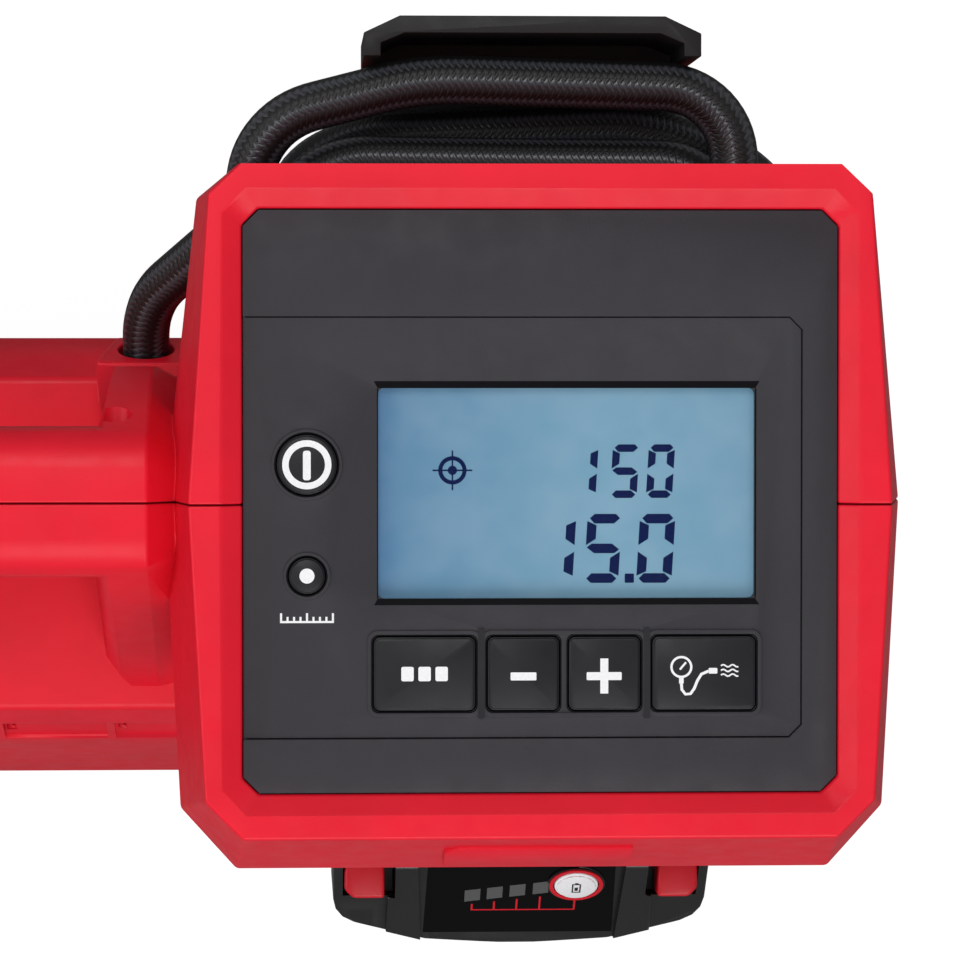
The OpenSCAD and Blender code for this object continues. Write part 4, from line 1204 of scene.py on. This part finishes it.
@dataclass
class ControlPanel:
    """Dark panel with its buttons, keys and printed signs."""

    key_top: float = 168.4
    button_top: float = 168.2
    area_z: float = 167.9
    ink: float = 0.04
    area: Box = (-57.0, -45.25, 50.65, 36.15)
    area_cut: float = 2.4
    line: float = 0.26
    lip: float = 0.5
    gap: float = 0.25
    key_y: float = -32.8
    key_h: float = 14.2
    key_corner: float = 1.4
    keys: tuple[Point, ...] = ((-22.5, 19.6), (-3.35, 13.8), (12.4, 13.8), (31.7, 20.0))
    button_x: float = -45.2
    buttons: tuple[Point, ...] = ((7.7, 5.8), (-13.8, 3.5))
    divider_at: Point = (-11.5, 20.6)
    divider_w: float = 1.3
    divider_h: float = 0.46
    divider_ends: Point = (-41.5, -24.1)
    power_ring: Point = (4.75, 3.5)
    power_bar: Box = (-45.95, 4.7, -44.45, 10.4)
    units_dot: float = 1.45
    scale_base: Box = (-50.4, -22.9, -40.0, -22.5)
    scale_pitch: float = 1.25
    tick_w: float = 0.4
    tick_long: float = 1.5
    tick_short: float = 0.8
    memory_first: Box = (-27.0, -34.2, -24.6, -31.4)
    memory_pitch: float = 3.3
    minus_bar: Box = (-5.85, -34.1, -0.85, -32.55)
    plus_bar: Box = (8.9, -34.1, 15.7, -32.55)
    plus_arms: tuple[Box, ...] = ((11.55, -36.7, 13.1, -34.1), (11.55, -32.55, 13.1, -29.9))

    def signs(self, white: Material) -> None:
        """Prints the signs on the buttons and keys.

        Args:
            white: Finish of the print.
        """
        power, units, scale, memory, minus, plus, inflate = (Shape() for _ in range(7))
        top, key, ink = self.button_top, self.key_top, self.ink
        ring(power, (self.button_x, self.buttons[0][0]), self.power_ring, top, ink)
        bar(power, self.power_bar, top, ink, 0.5)
        disc(units, (self.button_x, self.buttons[1][0]), self.units_dot, top, ink)
        left, _, _, foot = self.scale_base
        bar(scale, self.scale_base, self.area_z, ink)
        for i in range(9):
            x, rise = left + i * self.scale_pitch, self.tick_short if i % 4 else self.tick_long
            bar(scale, (x, foot, x + self.tick_w, foot + rise), self.area_z, ink)
        x0, y0, x1, y1 = self.memory_first
        for shift in (i * self.memory_pitch for i in range(3)):
            bar(memory, (x0 + shift, y0, x1 + shift, y1), key, ink, 0.35)
        bar(minus, self.minus_bar, key, ink, 0.2)
        bar(plus, self.plus_bar, key, ink, 0.2)
        for arm in self.plus_arms:
            bar(plus, arm, key, ink)
        GaugeSign().draw(inflate, key, ink)
        for name, shape, body in (("power", power, Body.POWER), ("units", units, Body.UNITS),
                                  ("scale", scale, Body.ROOT), ("memory", memory, Body.MEMORY),
                                  ("minus", minus, Body.MINUS), ("plus", plus, Body.PLUS),
                                  ("inflate", inflate, Body.INFLATE)):
            shape.finish(f"{name}_sign", white, body, Slot.KEY)

    def gaps(self, shade: Material) -> None:
        """Paints shade on the floor between each button or key and its lip, and a painted shade line along
        the edge of the sunken field.

        Args:
            shade: Finish of the painted shade.
        """
        floor = Shape()
        y0, y1 = (self.key_y + side * (self.key_h / 2 + self.lip) for side in (-1, 1))
        # Painted shade in the narrow gap round each key.
        for x, width in self.keys:
            x0, x1 = x - width / 2 - self.lip, x + width / 2 + self.lip
            part = Shape()
            part.face([(x0, y0), (x1, y0), (x1, y1), (x0, y1)], self.area_z)
            part.round_corners(self.key_corner)
            part.bm.normal_update()
            middle = part.bm.faces[:]
            rim = bmesh.ops.inset_region(part.bm, faces=middle, thickness=(self.lip - self.gap) * MM,
                                         use_boundary=True, use_even_offset=True)["faces"]
            bmesh.ops.delete(part.bm, geom=middle, context="FACES")
            part.lift(rim, self.ink)
            absorb(floor, part)
        for y, radius in self.buttons:
            ring(floor, (self.button_x, y), (radius + self.lip, radius + self.gap), self.area_z, self.ink)
        # Painted shade line along the step at the edge of the sunken field.
        (left, front, right, rear), cut = self.area, self.area_cut
        border = [(left, rear), (right - cut, rear), (right, rear - cut), (right, front + cut),
                  (right - cut, front), (left, front)]
        stroke(floor, border, self.line, self.area_z, self.ink)
        floor.finish("key_gaps", shade, Body.ROOT, Slot.BLACK)

    def dividers(self, dark: Material) -> None:
        """Makes the two dark bars between the keys.

        Args:
            dark: Finish of the bars.
        """
        bars = Shape()
        (y0, y1), half = self.divider_ends, self.divider_w / 2
        for x in self.divider_at:
            bar(bars, (x - half, y0, x + half, y1), self.area_z, self.divider_h, 0.3)
        bars.finish("key_dividers", dark, Body.ROOT, Slot.KEY)

    def build(self, look: Look) -> None:
        """Makes the panel, its buttons and its keys.

        Args:
            look: Finishes by name.
        """
        softened("control_panel", look["panel_moulding"], Body.ROOT, Slot.PANEL, 0.15)
        for node, body in (("power_button", Body.POWER), ("units_button", Body.UNITS),
                           ("memory_key", Body.MEMORY), ("minus_key", Body.MINUS),
                           ("plus_key", Body.PLUS), ("inflate_key", Body.INFLATE)):
            softened(node, look["key_moulding"], body, Slot.KEY, 0.22)
        self.gaps(look["shaded_gap"])
        self.dividers(look["key_moulding"])
        self.signs(look["white_print"])


# Housing, pack and mechanism ----------------------------------------------------------------------


@dataclass
class Housing:
    """Two moulded shells with the badge pad, the case screws and the feet."""

    rounding: float = 0.6
    badge_w: float = 36.8
    badge_h: float = 13.0
    badge_cut: float = 3.0
    badge_under: float = 0.8
    badge_t: float = 1.8
    badge_at: Point = (-69.0, 157.0)
    badge_tilt: float = 69.0

    def badge(self, red: Material) -> None:
        """Makes the bare raised pad on the front slope of the head.

        Args:
            red: Finish of the housing.
        """
        pad = Shape()
        w, h, cut = self.badge_w / 2, self.badge_h / 2, self.badge_cut
        outline = [(-w, -h), (w - cut, -h), (w, cut - h), (w, h), (cut - w, h), (-w, h - cut)]
        pad.lift([pad.face(outline, -self.badge_under)], self.badge_t)
        pad.soften(0.4)
        tilt = Matrix.Rotation(math.radians(self.badge_tilt), 4, "X")
        pad.carry(Matrix.Translation(Vector((0.0, *self.badge_at)) * MM) @ tilt)
        pad.finish("badge_pad", red, Body.ROOT, Slot.SHELL)

    def build(self, look: Look) -> None:
        """Makes the shells and the pad, and dresses the screws and feet.

        Args:
            look: Finishes by name.
        """
        for node in ("front_shell", "rear_shell"):
            softened(node, look["red_moulding"], Body.ROOT, Slot.SHELL, self.rounding, 3, fitted=True)
        self.badge(look["red_moulding"])
        for i in range(1, 7):
            dress(f"case_screw_{i}", look["blackened_steel"])
        for i in range(1, 5):
            dress(f"foot_{i}", look["foot_rubber"])


@dataclass
class HoseHook:
    """Hook at the rear that holds the wound hose."""

    rounding: float = 0.5

    def build(self, look: Look) -> None:
        """Makes the hook."""
        softened("hose_hook", look["black_moulding"], Body.ROOT, Slot.BLACK, self.rounding)


@dataclass
class BatteryPack:
    """Slide-in battery pack with its charge gauge, drawn flat and laid on its front facet."""

    top: Point = (-77.5, 102.0)
    lean: float = 49.7036
    gauge: Point = (11.8, -8.0)
    gauge_ring: Point = (5.7, 4.85)
    ring_z: float = 0.4
    ring_h: float = 0.35
    button_top: float = 1.3
    lights: tuple[Point, ...] = ((-10.0, -15.9), (-5.3, -15.0), (-0.5, -14.1), (4.4, -13.2))
    line_left: float = -10.2
    line_y: Point = (-18.4, -18.0)
    line_w: float = 0.4
    gauge_foot: float = -14.2
    line_h: float = 0.03
    ink: float = 0.06
    sign: tuple[Box, ...] = (
        (-0.95, -1.8, -0.65, 1.4), (0.65, -1.8, 0.95, 1.4), (-0.65, -1.8, 0.65, -1.5),
        (-0.65, 1.1, 0.65, 1.4), (-0.35, 1.4, 0.35, 1.8), (-0.35, -1.1, 0.35, 0.1),
    )
    gloss: tuple[Point, ...] = ((-19.6, -0.6), (-20.2, -27.0), (20.4, -27.0), (19.8, -0.6))

    def lay(self, name: str, shape: Shape, finish: Material, body: Body, slot: Slot) -> None:
        """Lays a flat drawing on the sloping front facet and finishes it."""
        lean = Matrix.Rotation(math.radians(self.lean), 4, "X")
        shape.carry(Matrix.Translation(Vector((0.0, *self.top)) * MM) @ lean)
        shape.finish(name, finish, body, slot)

    def label(self, look: Look) -> None:
        """Makes the glossy field, the red ring and line of the charge gauge and the sign on its button.

        Args:
            look: Finishes by name.
        """
        rim, line, sign, gloss = (Shape() for _ in range(4))
        gx, gy = self.gauge
        front, rear = self.line_y
        ring(rim, self.gauge, self.gauge_ring, self.ring_z, self.ring_h)
        bar(line, (self.line_left, front, gx + self.line_w / 2, rear), self.ink, self.line_h)
        for x, y in (*self.lights, (gx, self.gauge_foot)):
            bar(line, (x - self.line_w / 2, rear, x + self.line_w / 2, y), self.ink, self.line_h)
        for x0, y0, x1, y1 in self.sign:
            bar(sign, (gx + x0, gy + y0, gx + x1, gy + y1), self.button_top, self.ink)
        gloss.lift([gloss.face(list(self.gloss), 0.0)], self.ink)
        red = look["button_red_moulding"]
        self.lay("gauge_ring", rim, red, Body.PACK, Slot.RED)
        self.lay("gauge_line", line, red, Body.PACK, Slot.RED)
        self.lay("gauge_sign", sign, look["pack_moulding"], Body.GAUGE, Slot.SILVER)
        self.lay("gauge_field", gloss, look["gloss_field"], Body.PACK, Slot.PACK)

    def build(self, look: Look) -> None:
        """Makes the pack's pieces and dresses its lights and cells.

        Args:
            look: Finishes by name.
        """
        softened("battery_case", look["pack_moulding"], Body.PACK, Slot.PACK, 0.4, fitted=True)
        softened("gauge_button", look["silver_button"], Body.GAUGE, Slot.SILVER, 0.25)
        dress("gauge_leds", look["gauge_lens"])
        dress("battery_cells", look["cell_wrap"])
        for side, body in (("left", Body.RELEASE_LEFT), ("right", Body.RELEASE_RIGHT)):
            softened(f"battery_release_{side}", look["button_red_moulding"], body, Slot.RED, 0.7, 3)
        self.label(look)


@dataclass(frozen=True)
class Mechanism:
    """Board, motor, pump and fittings, whose own meshes are kept."""

    dressed: tuple[tuple[str, tuple[str, ...]], ...] = (
        ("solder_mask", ("control_board",)),
        ("plated_steel", ("hook_screw_1", "hook_screw_2", "hose_ferrule", "chuck_collar", "drive_gear")),
        ("black_moulding", ("hose_gland", "chuck_clip", "terminal_block", "cooling_fan")),
        ("turned_brass", ("chuck_body",)),
        ("cast_alloy", ("motor_can", "gear_frame", "connecting_rod", "cylinder", "cylinder_head")),
        ("blackened_steel", ("motor_rotor",)),
        ("foot_rubber", ("air_tube",)),
    )

    def build(self, look: Look) -> None:
        """Dresses the pieces.

        Args:
            look: Finishes by name.
        """
        for finish, nodes in self.dressed:
            for node in nodes:
                dress(node, look[finish])


# Assembly -----------------------------------------------------------------------------------------

FINISHES = (
    Moulding("red_moulding", (227, 24, 46), roughness=0.4, depth=0.018, specular=0.24, parting=True),
    Moulding("panel_moulding", (47, 45, 50), roughness=0.55, grain=0.34, depth=0.035, specular=0.3,
             mottle=0.06, edge_highlight=0.2),
    Moulding("key_moulding", (26, 26, 30), roughness=0.42, grain=0.3, depth=0.015, specular=0.3),
    Moulding("black_moulding", (30, 28, 29), roughness=0.45, grain=0.4, depth=0.02),
    Moulding("pack_moulding", (21, 19, 20), roughness=0.3, grain=0.4, depth=0.01, specular=0.55),
    Moulding("button_red_moulding", (190, 18, 34), roughness=0.35),
    Moulding("foot_rubber", (22, 22, 22), roughness=0.75, grain=0.6, depth=0.03),
    Moulding("silver_button", (240, 240, 244), roughness=0.3, specular=0.8, mottle=0.03),
    Moulding("solder_mask", (16, 92, 52), roughness=0.3),
    Moulding("gloss_field", (5, 5, 6), roughness=0.14, grain=2.0, depth=0.002, specular=0.08, edge_highlight=0.0),
    Moulding("cell_wrap", (40, 120, 96), roughness=0.3),
    Moulding("gauge_lens", (74, 75, 74), roughness=0.15, coat=0.6),
    Metal("plated_steel", (196, 197, 200)),
    Metal("blackened_steel", (70, 70, 74)),
    Metal("turned_brass", (196, 160, 92)),
    Metal("cast_alloy", (170, 172, 176), roughness=0.42),
    Print("white_print", (240, 240, 242)),
    Print("display_ink", (7, 18, 70), specular=0.0),
    Print("shaded_gap", (14, 14, 17), roughness=0.6, specular=0.06),
    Braid("hose_braid", (56, 58, 63)),
    Backlight(),
    ClearWindow(),
)


def main() -> None:
    """Builds the inflator's sub-assemblies in order."""
    logging.basicConfig(level=logging.INFO, format="%(name)s: %(message)s", stream=sys.stdout)
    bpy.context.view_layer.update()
    look = {finish.name: finish.material() for finish in FINISHES}
    studio = Studio()
    studio.camera()
    WoundHose().build(look["hose_braid"],
                      [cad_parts[n] for n in ("hose_ferrule", "chuck_body", "chuck_collar")])
    studio.build()
    for assembly in (Housing(), ControlPanel(), Display(), HoseHook(), BatteryPack(), Mechanism()):
        assembly.build(look)
        LOG.info("%s built", type(assembly).__name__)


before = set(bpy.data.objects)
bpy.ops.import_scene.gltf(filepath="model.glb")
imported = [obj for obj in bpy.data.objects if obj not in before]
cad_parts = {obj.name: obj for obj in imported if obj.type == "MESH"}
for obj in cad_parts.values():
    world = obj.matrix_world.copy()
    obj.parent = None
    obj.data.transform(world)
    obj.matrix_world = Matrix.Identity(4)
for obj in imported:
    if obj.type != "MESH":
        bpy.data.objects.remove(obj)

if __name__ == "__main__":
    main()
